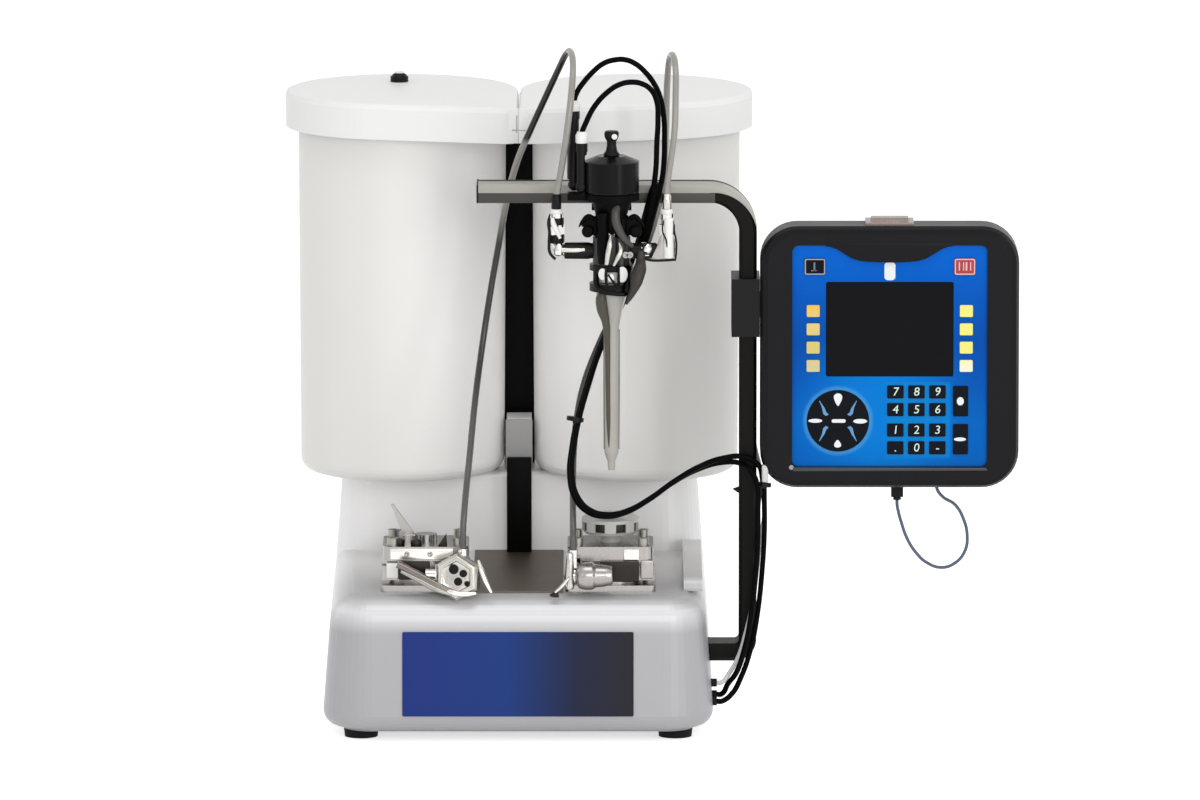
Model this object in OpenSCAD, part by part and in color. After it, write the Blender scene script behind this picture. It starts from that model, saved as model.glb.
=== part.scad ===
// Benchtop two-component dispensing machine with twin tanks, a metering drive in the base,
// a dispense valve with a static mixer on a bent mast, and a display module beside it.
// Millimetres. +X to the operator's right, +Y away from the operator, +Z up.
// The origin is on the bench, at the middle of the machine without its cords.

/* [Base housing] */
// Width of the base
base_w = 355; // [340:1:380]
// Depth of the base from its front face to its rear face
base_d = 435; // [430:1:470]
// Height of the deck above the bench
deck_z = 134; // [130:1:142]
// Height of the tower top, where the tanks stand
tower_z = 208; // [200:1:230]
// Distance from the front face to the tower wall at deck level
tower_y = 265; // [258:1:270]
// Thickness of the housing wall
wall = 4; // [3:0.5:6]
// Lean of each outer face per millimetre of height
draft = 0.0765; // [0.03:0.0005:0.09]
// Plan radius of the base corners
corner_r = 45; // [40:1:50]
// Radius of the rounded front top edge
brow_r = 28; // [16:1:30]
// Radius of the deck edge beside the tower
deck_edge_r = 12; // [6:1:16]
// Radius of the bottom edge
sill_r = 14; // [8:1:16]
// Radius of the tower's top edge
tower_edge_r = 6; // [4:1:10]
// Height of the raised cable rail along the right deck edge
rail_h = 10; // [6:1:14]
// Width of that rail
rail_w = 17; // [12:1:20]
// Thickness of the bottom plate
bottom_t = 2.5; // [2:0.5:4]
// Size of the window that the bottom plate closes, measured in from the base outline
bottom_rim = 30; // [26:1:36]

/* [Feet and front label] */
// Diameter of a rubber foot
foot_d = 32; // [26:1:40]
// Height of a rubber foot
foot_h = 8.5; // [6:0.5:14]
// Distance of the feet from the base's side
foot_side = 34.5; // [32:0.5:46]
// Distance of the front feet from the front face, and of the rear feet from the rear face
foot_inset = 44; // [40:1:60]
// Width of the front label
label_w = 210; // [150:1:230]
// Height of the front label
label_h = 77; // [50:1:77]
// Thickness of the front label
label_t = 1; // [0.6:0.2:2]

/* [Rear panel] */
// Width of the rear cover
cover_w = 240; // [220:1:250]
// Height of the rear cover
cover_h = 140; // [130:1:150]
// Thickness of the rear cover
cover_t = 3; // [2:0.5:4]
// Distance of the inlets from the centre plane
inlet_x = 88; // [80:1:95]
// Height of the inlets above the lower edge of the rear cover
inlet_up = 32; // [26:1:40]
// How far the air inlet stands out behind the base
inlet_proud = 12; // [8:1:16]
// Bore of the air inlet, for a push-in tube
air_bore_d = 6; // [4:0.5:8]

/* [Metering drive] */
// Distance of each metering tube from the centre plane
pump_x = 84; // [80:1:88]
// Height of the drive axis
drive_z = 74; // [70:1:78]
// Bore of a metering tube
tube_bore = 30; // [24:1:34]
// Wall of a metering tube
tube_wall = 5; // [3:0.5:6]
// Front end of the metering tubes
tube_y0 = 60; // [56:1:62]
// Stroke of the pistons
stroke = 76; // [50:1:76]
// Diameter of a piston rod
rod_d = 12; // [10:1:16]
// Diameter of the ball screw
screw_d = 14; // [12:1:18]
// Thickness of the drive's end plates
plate_t = 12; // [10:1:14]
// Thickness of the crosshead
head_t = 16; // [12:1:18]
// Width of the motor
motor_w = 86; // [70:1:86]
// Length of the motor
motor_len = 66; // [50:1:68]
// Room between the motor and the plane of the rear wall
motor_gap = 12; // [10:1:20]
// Width of the power supply
supply_w = 80; // [60:1:82]
// Depth of the power supply
supply_d = 84; // [60:1:86]
// Height of the power supply
supply_h = 62; // [40:1:70]
// Width of the air manifold
manifold_w = 80; // [60:1:82]
// Depth of the air manifold
manifold_d = 34; // [26:1:50]

/* [Pump heads on the deck] */
// Distance of a pump head's centre from the front face
pump_y = 72; // [70:1:76]
// Width of a pump head's top plate
pump_w = 78; // [70:1:80]
// Depth of a pump head's top plate
pump_d = 66; // [60:1:68]
// Thickness of a pump head's top plate
pump_top_t = 13; // [8:1:16]
// Thickness of a pump head's foot plate
pump_foot_t = 6; // [4:1:8]
// Diameter of a pump head's round body
pump_body_d = 60; // [50:1:62]
// Height of a pump head's round body
pump_body_h = 22; // [20:1:26]
// Diameter of the cap screws on a pump head
cap_screw_d = 6; // [5:1:8]
// Distance of an outlet from the centre plane
outlet_x = 50; // [50:1:54]
// Diameter of a feed pipe
feed_d = 14; // [10:1:16]
// Reach of a shutoff lever from its stem
lever_len = 32; // [26:1:40]
// Diameter of the round shutoff cap
cap_d = 52; // [44:1:54]

/* [Tanks and lids] */
// Distance between the tank centres
tank_pitch = 215.6; // [210:0.1:222]
// Distance of the tank centres from the front face
tank_y = 290; // [288:1:295]
// Height of a tank
tank_h = 350; // [280:1:360]
// Wall of a tank
tank_wall = 4; // [3:0.5:6]
// Diameter of a tank spout
spout_d = 30; // [24:1:34]
// How far a lid stands out past its tank
lid_over = 11.6; // [8:0.2:14]
// Height of a lid's skirt
lid_h = 33; // [24:1:40]
// Wall of a lid
lid_wall = 3.5; // [2.5:0.5:5]
// How far the lid's inner front corner stands forward of its round
prow = 26; // [10:1:34]
// Radius of that corner
prow_r = 12; // [8:1:20]
// Diameter of the breather plug in the left lid
plug_d = 11; // [8:1:16]

/* [Column between the tanks] */
// Width of the upper column
column_w = 28; // [24:1:30]
// Depth of the upper column
column_t = 20; // [12:1:24]
// Width of the lower post on the deck
post_w = 24; // [16:1:26]
// Depth of the lower post
post_t = 14; // [10:1:16]
// Height of the lower post's top above the deck
post_h = 89; // [60:1:100]
// Height of the saddle web between the tanks above the tower top
saddle_h = 50; // [30:1:70]

/* [Mast] */
// Distance of the mast post from the centre plane
mast_x = 209; // [205:1:216]
// Distance of the mast from the front face
mast_y = 80; // [78:1:82]
// Height of the bar's centre line
bar_z = 496; // [480:1:520]
// Left end of the bar
bar_x0 = -36; // [-60:1:10]
// Thickness of the mast tube
mast_t = 16; // [14:1:18]
// Depth of the mast tube
mast_d = 40; // [36:1:42]
// Wall of the mast tube
mast_wall = 2; // [1.5:0.5:3]
// Bend radius of the mast at its centre line
bend_r = 36; // [30:1:50]
// Height of the mast's foot stub
stub_z = 74; // [72:1:80]

/* [Display] */
// Left edge of the display
display_x = 220; // [220:1:226]
// Width of the display
display_w = 235; // [225:1:250]
// Height of the display
display_h = 240; // [230:1:250]
// Lower edge of the display above the bench
display_z = 228; // [224:1:234]
// Corner radius of the display
display_r = 34; // [24:1:40]
// Distance of the display's front from the front face
display_y = 44; // [40:1:46]
// Thickness of the front bezel
bezel_t = 16; // [12:1:20]
// Thickness of the rear shell
shell_t = 36; // [30:1:40]
// Wall of the rear shell
shell_wall = 3; // [2:0.5:4]
// Width of the faceplate
face_w = 177; // [170:1:185]
// Height of the faceplate
face_h = 203; // [196:1:212]
// Width of the visible screen
screen_w = 116; // [100:1:124]
// Height of the visible screen
screen_h = 87; // [75:1:93]
// Width of the clamp block on the mast
clamp_h = 53; // [40:1:60]
// Diameter of the hollow tilt pivot
pivot_d = 24; // [20:1:26]
// Travel of a key
key_travel = 0.8; // [0.4:0.1:1.2]
// Diameter of the navigation pad
nav_d = 56; // [48:1:60]

/* [Dispense valve] */
// Distance of the valve axis from the centre plane
valve_x = 85; // [80:1:92]
// Distance of the valve axis from the front face
valve_y = 34; // [33:1:34]
// Diameter of the air cylinder
cyl_d = 50; // [46:1:52]
// Height of the air cylinder
cyl_h = 34; // [30:1:40]
// Bore of the air cylinder
cyl_bore = 40; // [32:1:42]
// Stroke of the valve piston
valve_stroke = 4; // [2:0.5:6]
// Distance of each needle leg from the valve axis
leg_x = 9; // [8:0.5:10]
// Distance of each inlet from the valve axis
inlet_reach = 50; // [46:1:54]
// Diameter of the mixer tube
mixer_d = 13; // [10:0.5:16]
// Length of the mixer tube below its bell
mixer_len = 131; // [80:1:150]
// Diameter of the mixer's bell
bell_d = 29; // [24:1:32]
// Height of the mixer's bell and its cone
bell_h = 42; // [30:1:50]
// Bore of the mixer's outlet
outlet_bore = 4; // [2:0.5:6]
// Diameter of the mixer's retaining nut
nut_d = 40; // [38:1:46]
// Height of the retaining nut
nut_h = 24; // [20:1:26]
// Number of half turns in the mixing element
mixer_turns = 10; // [4:1:14]

/* [Cords] */
// Diameter of a fluid tube
fluid_d = 6; // [4:0.5:7]
// Diameter of an air line
air_d = 5; // [3:0.5:6]
// Diameter of the display cable
cable_d = 4; // [3:0.5:5]
// Diameter of the loop cord under the display
loop_d = 3; // [2:0.5:4]
// Diameter of a gland in the base's right side
gland_d = 7.4; // [6:0.2:8]
// How far a gland stands out of that side
gland_proud = 3.5; // [2:0.5:8]

/* [Fits] */
// Gap between curved faces that move past each other
run_gap = 0.3; // [0.2:0.05:0.5]
// Clearance of a part that slips into another and stays there
slip = 0.1; // [0.05:0.05:0.3]

/* [Hidden] */
$fn = 48;

// Facets round a hulled corner
hull_fn = 40;
// A small overlap that keeps cuts clean
eps = 0.01;

// Heights and outline of the base
sill_z = foot_h + bottom_t;
face_z = sill_z + sill_r;
foot_x = base_w / 2 - foot_side;
lean = atan(draft);
corner_x = base_w / 2 - corner_r;
back_y = base_d - corner_r;
tower_front_c = tower_y + corner_r - draft * (deck_z - face_z);

// Rear cover, in the plane of the rear wall, measured from face_z
cover_low = 6;
cover_corner = 6;
lug = 16;

// Half of the rocker switch's throw
rocker_tilt = 10;

// Drive, from the rear wall forwards
head_back = head_t + 33;
bay_len = head_back + stroke + 3;
motor_y = base_d - motor_gap - motor_len;
plate2_y = motor_y - plate_t;
bay_y = plate2_y - bay_len;
plate1_y = bay_y - plate_t;
tube_len = plate1_y - tube_y0;
head_y = plate2_y - head_back;
head_h = 44;
head_w = 2 * pump_x + 38;
drive_h = 100;
drive_low = sill_z;
plate1_w = 230;
plate2_w = 124;
guide_x = 50;
guide_d = 12;
nut_od = 30;
tube_head = 50;
tube_head_t = 24;
piston_t = 14;
piston_y = plate1_y - piston_t - 2;
rod_len = head_y - piston_y;
// Room between the end plate and what stands beside it
side_room = 4;

// Pump heads
pump_top_z = deck_z + pump_foot_t + pump_body_h + pump_top_t;
stub_d = 24;
feed_z = deck_z + 13;
feed_bend = 20;
spout_len = 18;
// How far the feed port stands out of the pump head's round body
port_len = 9;
outlet_y = 30;
outlet_z = deck_z + 16;
outlet_top = 174;
screw_head_h = 7;
screw_head_d = 10;

// Tanks and lids
tank_x = tank_pitch / 2;
seam_gap = 0.8;
lid_d = tank_pitch - seam_gap;
tank_d = lid_d - 2 * lid_over;
tank_taper = 1.8;
rim_z = tower_z + tank_h;
lid_top = rim_z + lid_wall;
lid_low = lid_top - lid_h;
plug_x = -111;
plug_y = 340;
plug_stem = 10;

// Mast and clamp
stub_bend = 12;
socket_x = 156;
clamp_side = 7;
clamp_front = 8;
clamp_z = 392.5;
clamp_x0 = mast_x - mast_t / 2 - clamp_side;
clamp_x1 = display_x - run_gap - slip;

// Display
disp_cx = display_x + display_w / 2;
disp_cz = display_z + display_h / 2;
window_z = disp_cz + 1.5;
screen_z = window_z + 24.5;
shell_y = display_y + bezel_t;
face_y = display_y + 3;
face_t = 4;
key_out = 1.2;
nav_side = 46.8;
nav_drop = 59.6;
soft_w = 11.8;
soft_h = 10.8;
soft_pitch = 16.8;
digit_w = 15;
digit_h = 12;
digit_side = 5.3;
digit_drop = 33;
digit_pitch_x = 19.1;
digit_pitch_z = 16.3;
tall_w = 13.8;
tall_h = 28;
tall_side = 64.5;
tall_drop = 41.5;
tall_pitch = 35;
pivot_y = 78;

// Valve
cyl_z = 501;
plate_z = 6;
neck_d = 28;
neck_low = cyl_z - plate_z - 17;
leg_d = 12.5;
needle_d = 5;
leg_h = 17;
body_h = 25;
body_top = neck_low - leg_h;
body_low = body_top - body_h;
spigot_d = 11;
seat_d = 24;
seat_t = 3;
nut_top = body_low - slip;
bell_top = nut_top - nut_h + 8;
flange_d = bell_d + 3;
flange_t = 4;
mixer_z = bell_top - bell_h - mixer_len;
inlet_z = body_low + 12;
fitting_h = 34;
bracket_w = 36;
piston_h = 8;
stem_d = 8;
crossbar_t = 5;
cyl_floor = 4;

// Middle of the machine, which is the part's origin
lid_edge = tank_x + lid_d / 2;
machine_x = -(display_x + display_w - lid_edge) / 2;
machine_y = -(base_d + inlet_proud - label_t) / 2;

// Routes of the cords, from where each starts to where it ends
fluid_left_path = [[-50, 30, 174], [-50, 30, 190], [-48, 38, 218], [-44, 62, 256], [-39, 92, 304],
    [-33, 112, 348], [-26, 118, 394], [-18, 121, 440], [-9, 122, 488], [0, 122, 520], [12, 121, 548],
    [25, 118, 577], [37, 110, 604], [44, 94, 620], [48, 74, 624], [50, 54, 616], [49, 39, 596],
    [46, 32, 568], [41, 32, 532], [36, 33, 503], [35, 34, 497], [35, 34, 492]];
fluid_right_path = [[50, 30, 174], [50, 30, 178], [50, 31, 186], [50, 36, 194], [50, 46, 206],
    [50, 58, 220], [50, 68, 240], [51, 76, 264], [54, 82, 291], [60, 87, 318], [70, 92, 345],
    [83, 97, 373], [98, 103, 402], [113, 110, 432], [124, 117, 462], [131, 120, 496], [134, 120, 532],
    [135, 118, 566], [136, 108, 597], [138, 90, 617], [141, 70, 621], [143, 52, 611], [143, 41, 588],
    [142, 35, 557], [138, 34, 526], [135, 34, 505], [135, 34, 500]];
open_path = [[51, 44, 579], [51, 44, 583], [54, 44, 592], [60, 43, 601], [69, 43, 611], [78, 43, 618],
    [88, 44, 621], [98, 44, 621], [107, 45, 617], [115, 46, 610], [122, 48, 601], [128, 49, 589],
    [132, 50, 571], [133, 50, 545], [132, 50, 520], [128, 50, 498], [122, 51, 474], [114, 53, 446],
    [103, 57, 414], [88, 58, 381], [74, 54, 352], [64, 49, 322], [56, 44, 294], [51, 40, 268],
    [49, 38, 243], [54, 36, 222], [66, 37, 209], [82, 38, 205], [99, 40, 208], [120, 43, 219],
    [143, 46, 235], [166, 49, 248], [187, 51, 255], [205, 52, 256], [218, 53, 249], [223, 54, 234],
    [224, 54, 214], [224, 54, 184], [222, 53, 150], [218, 52, 112], [212, 51, 80], [203, 50, 53],
    [194, 49, 37], [185, 48, 31], [181, 48, 31]];
close_path = [[58, 30, 551], [58, 30, 555], [62, 30, 566], [70, 30, 581], [81, 31, 593], [92, 32, 600],
    [103, 34, 602], [113, 36, 600], [121, 39, 594], [126, 41, 583], [127, 42, 567], [126, 43, 545],
    [125, 43, 520], [122, 45, 500], [116, 50, 478], [108, 58, 449], [98, 66, 417], [86, 66, 382],
    [72, 62, 349], [62, 57, 319], [54, 52, 291], [49, 48, 265], [47, 46, 240], [52, 44, 219],
    [64, 45, 206], [80, 46, 202], [97, 48, 205], [118, 51, 216], [141, 54, 232], [164, 56, 244],
    [186, 57, 250], [203, 56, 249], [213, 46, 242], [218, 46, 228], [218, 46, 208], [218, 46, 180],
    [216, 46, 148], [212, 45, 111], [206, 44, 80], [199, 44, 59], [191, 54, 46], [185, 57, 36],
    [181, 57, 36]];
cable_path = [[203, 118, 378], [203, 118, 374], [204, 121, 364], [206, 124, 340], [209, 126, 308],
    [212, 124, 280], [216, 114, 256], [221, 98, 236], [223, 80, 218], [224, 66, 200], [220, 62, 176],
    [217, 52, 148], [213, 54, 118], [207, 54, 92], [200, 54, 70], [192, 52, 56], [185, 50, 48],
    [181, 50, 48]];
loop_path = [[345, 68, 214], [345, 68, 210], [346, 68, 204], [349, 67, 193], [354, 66, 179],
    [362, 65, 166], [373, 64, 156], [386, 64, 152], [398, 65, 156], [407, 66, 167], [409, 67, 181],
    [406, 68, 195], [398, 69, 209], [386, 69, 217], [381, 69, 225], [381, 69, 228]];

// Points along an arc about a centre
function arc(c, r, a0, a1, n) =
    [for (i = [0:n]) c + r * [cos(a0 + (a1 - a0) * i / n), sin(a0 + (a1 - a0) * i / n)]];

// Half section of a corner post: sill arc, leaning face and rounded top edge
function post_section(inset, top, edge, n) =
    let (r0 = corner_r - inset, r1 = r0 - draft * (top - edge - face_z), re = max(edge - inset, 1.5))
    concat([[0, sill_z + inset]],
        arc([r0 - sill_r + inset, face_z], sill_r - inset, -90, 0, n),
        arc([r1 - re, top - inset - re], re, 0, 90, n + 2),
        [[0, top - inset]]);

// Unit vector of a
function unit(a) = a / norm(a);

// Direction of a route at point i
function heading(p, i) = unit(p[min(i + 1, len(p) - 1)] - p[max(i - 1, 0)]);

// One ring of a tube about point i of a route, square to its heading
function ring(p, i, r, sides) =
    let (t = heading(p, i), side = unit(cross(t, [0.31, 0.9, 0.3])), up = cross(side, t))
    [for (k = [0:sides - 1]) p[i] + r * (cos(360 * k / sides) * side + sin(360 * k / sides) * up)];

// A solid tube swept along a route
module cord(p, d, sides) {
    n = len(p);
    points = [for (i = [0:n - 1]) each ring(p, i, d / 2, sides)];
    walls = [for (i = [0:n - 2]) for (k = [0:sides - 1])
        let (a = i * sides + k, b = i * sides + (k + 1) % sides)
        each [[a, b + sides, a + sides], [a, b, b + sides]]];
    caps = [[for (k = [sides - 1:-1:0]) k], [for (k = [0:sides - 1]) (n - 1) * sides + k]];
    polyhedron(points, concat(caps, walls), convexity = 6);
}

// Puts the machine's centre line and front face where the origin needs them
module place() translate([machine_x, machine_y, 0]) children();

// Planes of the leaning walls: local Z runs up the wall from face_z
module on_front_wall() translate([0, 0, face_z]) rotate([-lean, 0, 0]) children();
module on_rear_wall() translate([0, base_d, face_z]) rotate([lean, 0, 0]) children();

// Mirrors what follows onto the other side as well
module both_sides() {
    children();
    mirror([1, 0, 0]) children();
}

// Rod along Y, from y0 over a length
module rod_y(x, y0, z, d, len) translate([x, y0, z]) rotate([-90, 0, 0]) cylinder(d = d, h = len);

// Rod along X, from x0 over a length
module rod_x(x0, y, z, d, len) translate([x0, y, z]) rotate([0, 90, 0]) cylinder(d = d, h = len);

// Rectangle with true round corners, about its centre
module round_rect(w, h, r) {
    square([w - 2 * r, h], center = true);
    square([w, h - 2 * r], center = true);
    for (sx = [-1, 1], sy = [-1, 1]) translate([sx * (w / 2 - r), sy * (h / 2 - r)]) circle(r);
}

// Plate in the XZ plane with round corners, from y0 backwards
module plate_xz(w, h, r, y0, t)
    translate([0, y0 + t, 0]) rotate([90, 0, 0]) linear_extrude(t) round_rect(w, h, r);

// Housing
module corner_post(inset, top, edge, n, sides)
    rotate_extrude($fn = sides) polygon(post_section(inset, top, edge, n));

module body_form(inset, n, sides) {
    hull() for (sx = [-1, 1]) {
        translate([sx * corner_x, corner_r, 0]) corner_post(inset, deck_z, brow_r, n, sides);
        translate([sx * corner_x, back_y, 0]) corner_post(inset, deck_z, deck_edge_r, n, sides);
    }
    hull() for (sx = [-1, 1], y = [tower_front_c, back_y])
        translate([sx * corner_x, y, 0]) corner_post(inset, tower_z, tower_edge_r, n, sides);
}

module rear_window(gap) {
    on_rear_wall() translate([0, 0, cover_low + cover_h / 2])
        plate_xz(cover_w - gap, cover_h - gap, cover_corner, -3 * wall, 4 * wall);
}

// Repeats what follows at the four corner screws of the rear cover
module at_cover_screws() on_rear_wall() for (sx = [-1, 1], top = [0, 1])
    translate([sx * (cover_w - lug) / 2, 0, cover_low + lug / 2 + top * (cover_h - lug)]) children();

module cover_lugs() at_cover_screws()
    translate([-lug / 2, -cover_t - 2 * wall, -lug / 2]) cube([lug, 2 * wall, lug]);

module cable_rail() {
    rail_x1 = base_w / 2 - draft * (deck_z - face_z) - 1.5;
    translate([rail_x1 - rail_w, 0, deck_z - wall / 2]) rotate([90, 0, 90]) linear_extrude(rail_w)
        polygon(concat([[corner_r + 8, 0]],
            arc([corner_r + 8 + rail_h, wall / 2], rail_h, 180, 90, 6),
            [[tower_y + wall, rail_h + wall / 2], [tower_y + wall, 0]]));
}

module mast_socket()
    translate([socket_x, mast_y - mast_d / 2 - wall, stub_z - mast_t / 2 - wall])
        cube([base_w / 2 - socket_x - wall - 2, mast_d + 2 * wall, mast_t + 2 * wall]);

module saddle_web() {
    web_w = tank_pitch - tank_d - 1;
    translate([-web_w / 2, tank_y - 27, tower_z - wall]) cube([web_w, 37, saddle_h + wall]);
}

module base_housing() place() color("silver") difference() {
    union() {
        difference() {
            body_form(0, 6, hull_fn);
            body_form(wall, 3, 24);
            rear_window(0);
        }
        intersection() {
            cover_lugs();
            body_form(wall / 2, 3, 24);
        }
        cable_rail();
        mast_socket();
        saddle_web();
    }
    translate([-base_w / 2 + bottom_rim, bottom_rim, 0])
        cube([base_w - 2 * bottom_rim, base_d - 2 * bottom_rim, sill_z + 2 * wall]);
    translate([mast_x, mast_y, 0]) mast_solid(slip);
    both_sides() {
        translate([tank_x, tank_y, tower_z - 2 * wall]) cylinder(d = spout_d + 2, h = 3 * wall);
        translate([pump_x, pump_y, deck_z - 2 * wall]) cylinder(d = stub_d + 1, h = 3 * wall);
        rod_y(tank_x, tower_y - wall, feed_z, feed_d + 1, 4 * wall);
    }
    at_cover_screws() rod_y(0, -cover_t - 3 * wall, 0, 4.2, 4 * wall);
    for (p = [open_path, close_path, cable_path]) {
        q = p[len(p) - 1];
        rod_x(base_w / 2 - 3 * wall, q[1], q[2], gland_d + 2 * slip, 4 * wall);
    }
}

module bottom_plate() place() color("dimgray") difference() {
    rim = sill_r + 4;
    translate([0, base_d / 2, foot_h]) linear_extrude(bottom_t)
        round_rect(base_w - 2 * rim, base_d - 2 * rim, corner_r - rim);
    for (sx = [-1, 1], y = [foot_inset, base_d - foot_inset])
        translate([sx * foot_x, y, foot_h - 1]) cylinder(d = 5, h = bottom_t + 2);
}

module rubber_feet() place() color("black") for (sx = [-1, 1], y = [foot_inset, base_d - foot_inset])
    translate([sx * foot_x, y, 0]) difference() {
        cylinder(d1 = foot_d - 2, d2 = foot_d, h = foot_h);
        translate([0, 0, -1]) cylinder(d = 11, h = foot_h - 1.5);
        cylinder(d = 5, h = foot_h + 1);
    }

module front_panel() place() color("midnightblue") on_front_wall()
    translate([0, 0, label_h / 2 + 0.5]) plate_xz(label_w, label_h, 1.5, -label_t, label_t);

module deck_plate() place() color("#5f5850") {
    plate_w = 2 * (pump_x - pump_w / 2) - 8;
    translate([-plate_w / 2, 32, deck_z]) cube([plate_w, tower_y - 35, 1.5]);
}

module rear_cover() place() color("gainsboro") difference() {
    on_rear_wall() translate([0, 0, cover_low + cover_h / 2])
        plate_xz(cover_w - 2 * run_gap, cover_h - 2 * run_gap, cover_corner, -cover_t, cover_t);
    on_rear_wall() for (sx = [-1, 1], i = [0:6])
        translate([sx * 50 - 21, -cover_t - 1, cover_low + 66 + i * 8]) cube([42, cover_t + 2, 3.5]);
    on_rear_wall() translate([-inlet_x, 0, cover_low + inlet_up])
        cube([44 + 2 * slip, 60, 24 + 2 * slip], center = true);
    rod_y(inlet_x, base_d - 30, face_z + cover_low + inlet_up, 12 + 2 * slip, 40);
    at_cover_screws() rod_y(0, -cover_t - 1, 0, 4.2, cover_t + 2);
}

// Socket-head screw with its head's underside at the origin, shank along -Z
module socket_screw(d, head_d, head_h, len) difference() {
    union() {
        cylinder(d = head_d, h = head_h);
        translate([0, 0, -len]) cylinder(d = d, h = len + eps);
    }
    translate([0, 0, head_h * 0.45]) cylinder(d = head_d * 0.55, h = head_h, $fn = 6);
}

module socket_screws() place() color("#8c8e91") {
    for (side = [-1, 1], sx = [-1, 1], sy = [-1, 1])
        translate([side * pump_x + sx * (pump_w / 2 - 9), pump_y + sy * (pump_d / 2 - 9), pump_top_z])
            socket_screw(cap_screw_d, screw_head_d, screw_head_h, pump_top_t - 2);
    at_cover_screws() rotate([-90, 0, 0]) socket_screw(4, 7, 2.2, cover_t + 6);
    for (sx = [-1, 1], y = [foot_inset, base_d - foot_inset])
        translate([sx * foot_x, y, foot_h - 2.5]) rotate([180, 0, 0])
            socket_screw(4.6, 9, 3, 2 + bottom_t);
}

// Rear inlets
module power_inlet() place() color("#202020") {
    z = face_z + cover_low + inlet_up;
    difference() {
        on_rear_wall() translate([-inlet_x, 0, cover_low + inlet_up]) {
            translate([-25, 0, -15]) cube([50, 2, 30]);
            translate([-22, -24, -12]) cube([44, 25, 24]);
        }
        translate([-inlet_x, base_d, z]) {
            translate([-19, -14, -8.5]) cube([23, 20, 17]);
            translate([8, -12, -9.5]) cube([11, 20, 19]);
            rod_x(6, -3, 0, 2.4, 15);
        }
    }
}

module power_switch() place() color("black") {
    z = face_z + cover_low + inlet_up;
    translate([-inlet_x + 8 + run_gap, base_d - 3, z]) rotate([0, 90, 0])
        linear_extrude(11 - 2 * run_gap) rotate(rocker_tilt)
            polygon([[-8, 4.6], [0, 6], [8, 4.6], [8, 0], [3, -4], [-3, -4], [-8, 0]]);
    rod_x(-inlet_x + 6.5, base_d - 3, z, 2, 14);
}

module air_inlet() place() color("#b9babc") {
    z = face_z + cover_low + inlet_up;
    difference() {
        union() {
            rod_y(inlet_x, base_d - 26, z, 12, 30);
            translate([inlet_x, base_d - 2 * draft * 10, z]) rotate([-90, 0, 0])
                cylinder(d = 17, h = 5, $fn = 6);
            rod_y(inlet_x, base_d, z, 13, inlet_proud);
        }
        rod_y(inlet_x, base_d + inlet_proud - 20, z, air_bore_d, 21);
    }
}

// Metering drive
module drive_frame() place() color("lightslategray") difference() {
    union() {
        translate([-plate1_w / 2, plate1_y, drive_low]) cube([plate1_w, plate_t, drive_h]);
        translate([-plate2_w / 2, plate2_y, drive_low]) cube([plate2_w, plate_t, drive_h]);
        both_sides() rod_y(guide_x, plate1_y + 1, drive_z, guide_d, bay_len + plate_t);
    }
    both_sides() rod_y(pump_x, plate1_y - 1, drive_z, rod_d + 2 * run_gap, plate_t + 2);
    rod_y(0, plate1_y - 1, drive_z, screw_d + 2 * run_gap, bay_len + 2 * plate_t + 2);
}

module drive_motor() place() color("#26282b") difference() {
    union() {
        translate([-motor_w / 2, motor_y, drive_z - motor_w / 2]) cube([motor_w, 10, motor_w]);
        translate([0, motor_y + 9, drive_z]) rotate([-90, 0, 0]) linear_extrude(motor_len - 9)
            polygon([for (sx = [-1, 1], p = [[1, -0.76], [1, 0.76], [0.76, 1], [-0.76, 1]])
                let (q = sx * p) [q[0] * motor_w / 2 - q[0] * 2, q[1] * motor_w / 2 - q[1] * 2]]);
    }
    rod_y(0, motor_y - 1, drive_z, screw_d + 2 * run_gap, 22);
}

module ball_screw() place() color("#c4c6c8")
    rod_y(0, plate1_y + 2, drive_z, screw_d, bay_len + 2 * plate_t + 14);

module crosshead() place() color("lightslategray") difference() {
    union() {
        translate([-head_w / 2, head_y, drive_z - head_h / 2]) cube([head_w, head_t, head_h]);
        rod_y(0, head_y, drive_z, nut_od, head_t + 14);
    }
    both_sides() rod_y(guide_x, head_y - 1, drive_z, guide_d + 2 * run_gap, head_t + 2);
    rod_y(0, head_y - 1, drive_z, screw_d + 2 * run_gap, head_t + 16);
}

module piston_rods() place() color("gainsboro") both_sides() {
    rod_y(pump_x, head_y - rod_len, drive_z, rod_d, rod_len);
    rod_y(pump_x, head_y - rod_len, drive_z, tube_bore - 2 * run_gap, piston_t);
}

module metering_tubes() place() color("#c9cbcd") both_sides() difference() {
    union() {
        rod_y(pump_x, tube_y0, drive_z, tube_bore + 2 * tube_wall, tube_len);
        translate([pump_x - tube_head / 2, tube_y0, drive_z - tube_head / 2])
            cube([tube_head, tube_head_t, tube_head]);
    }
    rod_y(pump_x, tube_y0 + 6, drive_z, tube_bore, tube_len);
    translate([pump_x, pump_y, drive_z]) cylinder(d = 8, h = tube_head);
}

// Power supply with a row of cooling slots in its front
module power_supply() place() color("#b0b2b4")
    translate([-plate2_w / 2 - side_room - supply_w, plate2_y - supply_d * 0.3, sill_z]) difference() {
        pitch = supply_w / 8;
        cube([supply_w, supply_d, supply_h]);
        for (i = [1:7]) translate([i * pitch - pitch * 0.2, -1, supply_h / 3])
            cube([pitch * 0.4, 10, supply_h / 2]);
    }

// Air manifold with its three valves
module air_manifold() place() color("#3a3d40")
    translate([plate2_w / 2 + side_room, plate2_y - manifold_d / 2, sill_z]) {
        pitch = manifold_w / 3.6;
        manifold_h = manifold_d * 0.8;
        cube([manifold_w, manifold_d, manifold_h]);
        for (i = [0:2]) translate([(0.4 + i) * pitch, manifold_d * 0.12, manifold_h - 1])
            cube([pitch * 0.8, manifold_d * 0.76, manifold_d]);
    }

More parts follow.
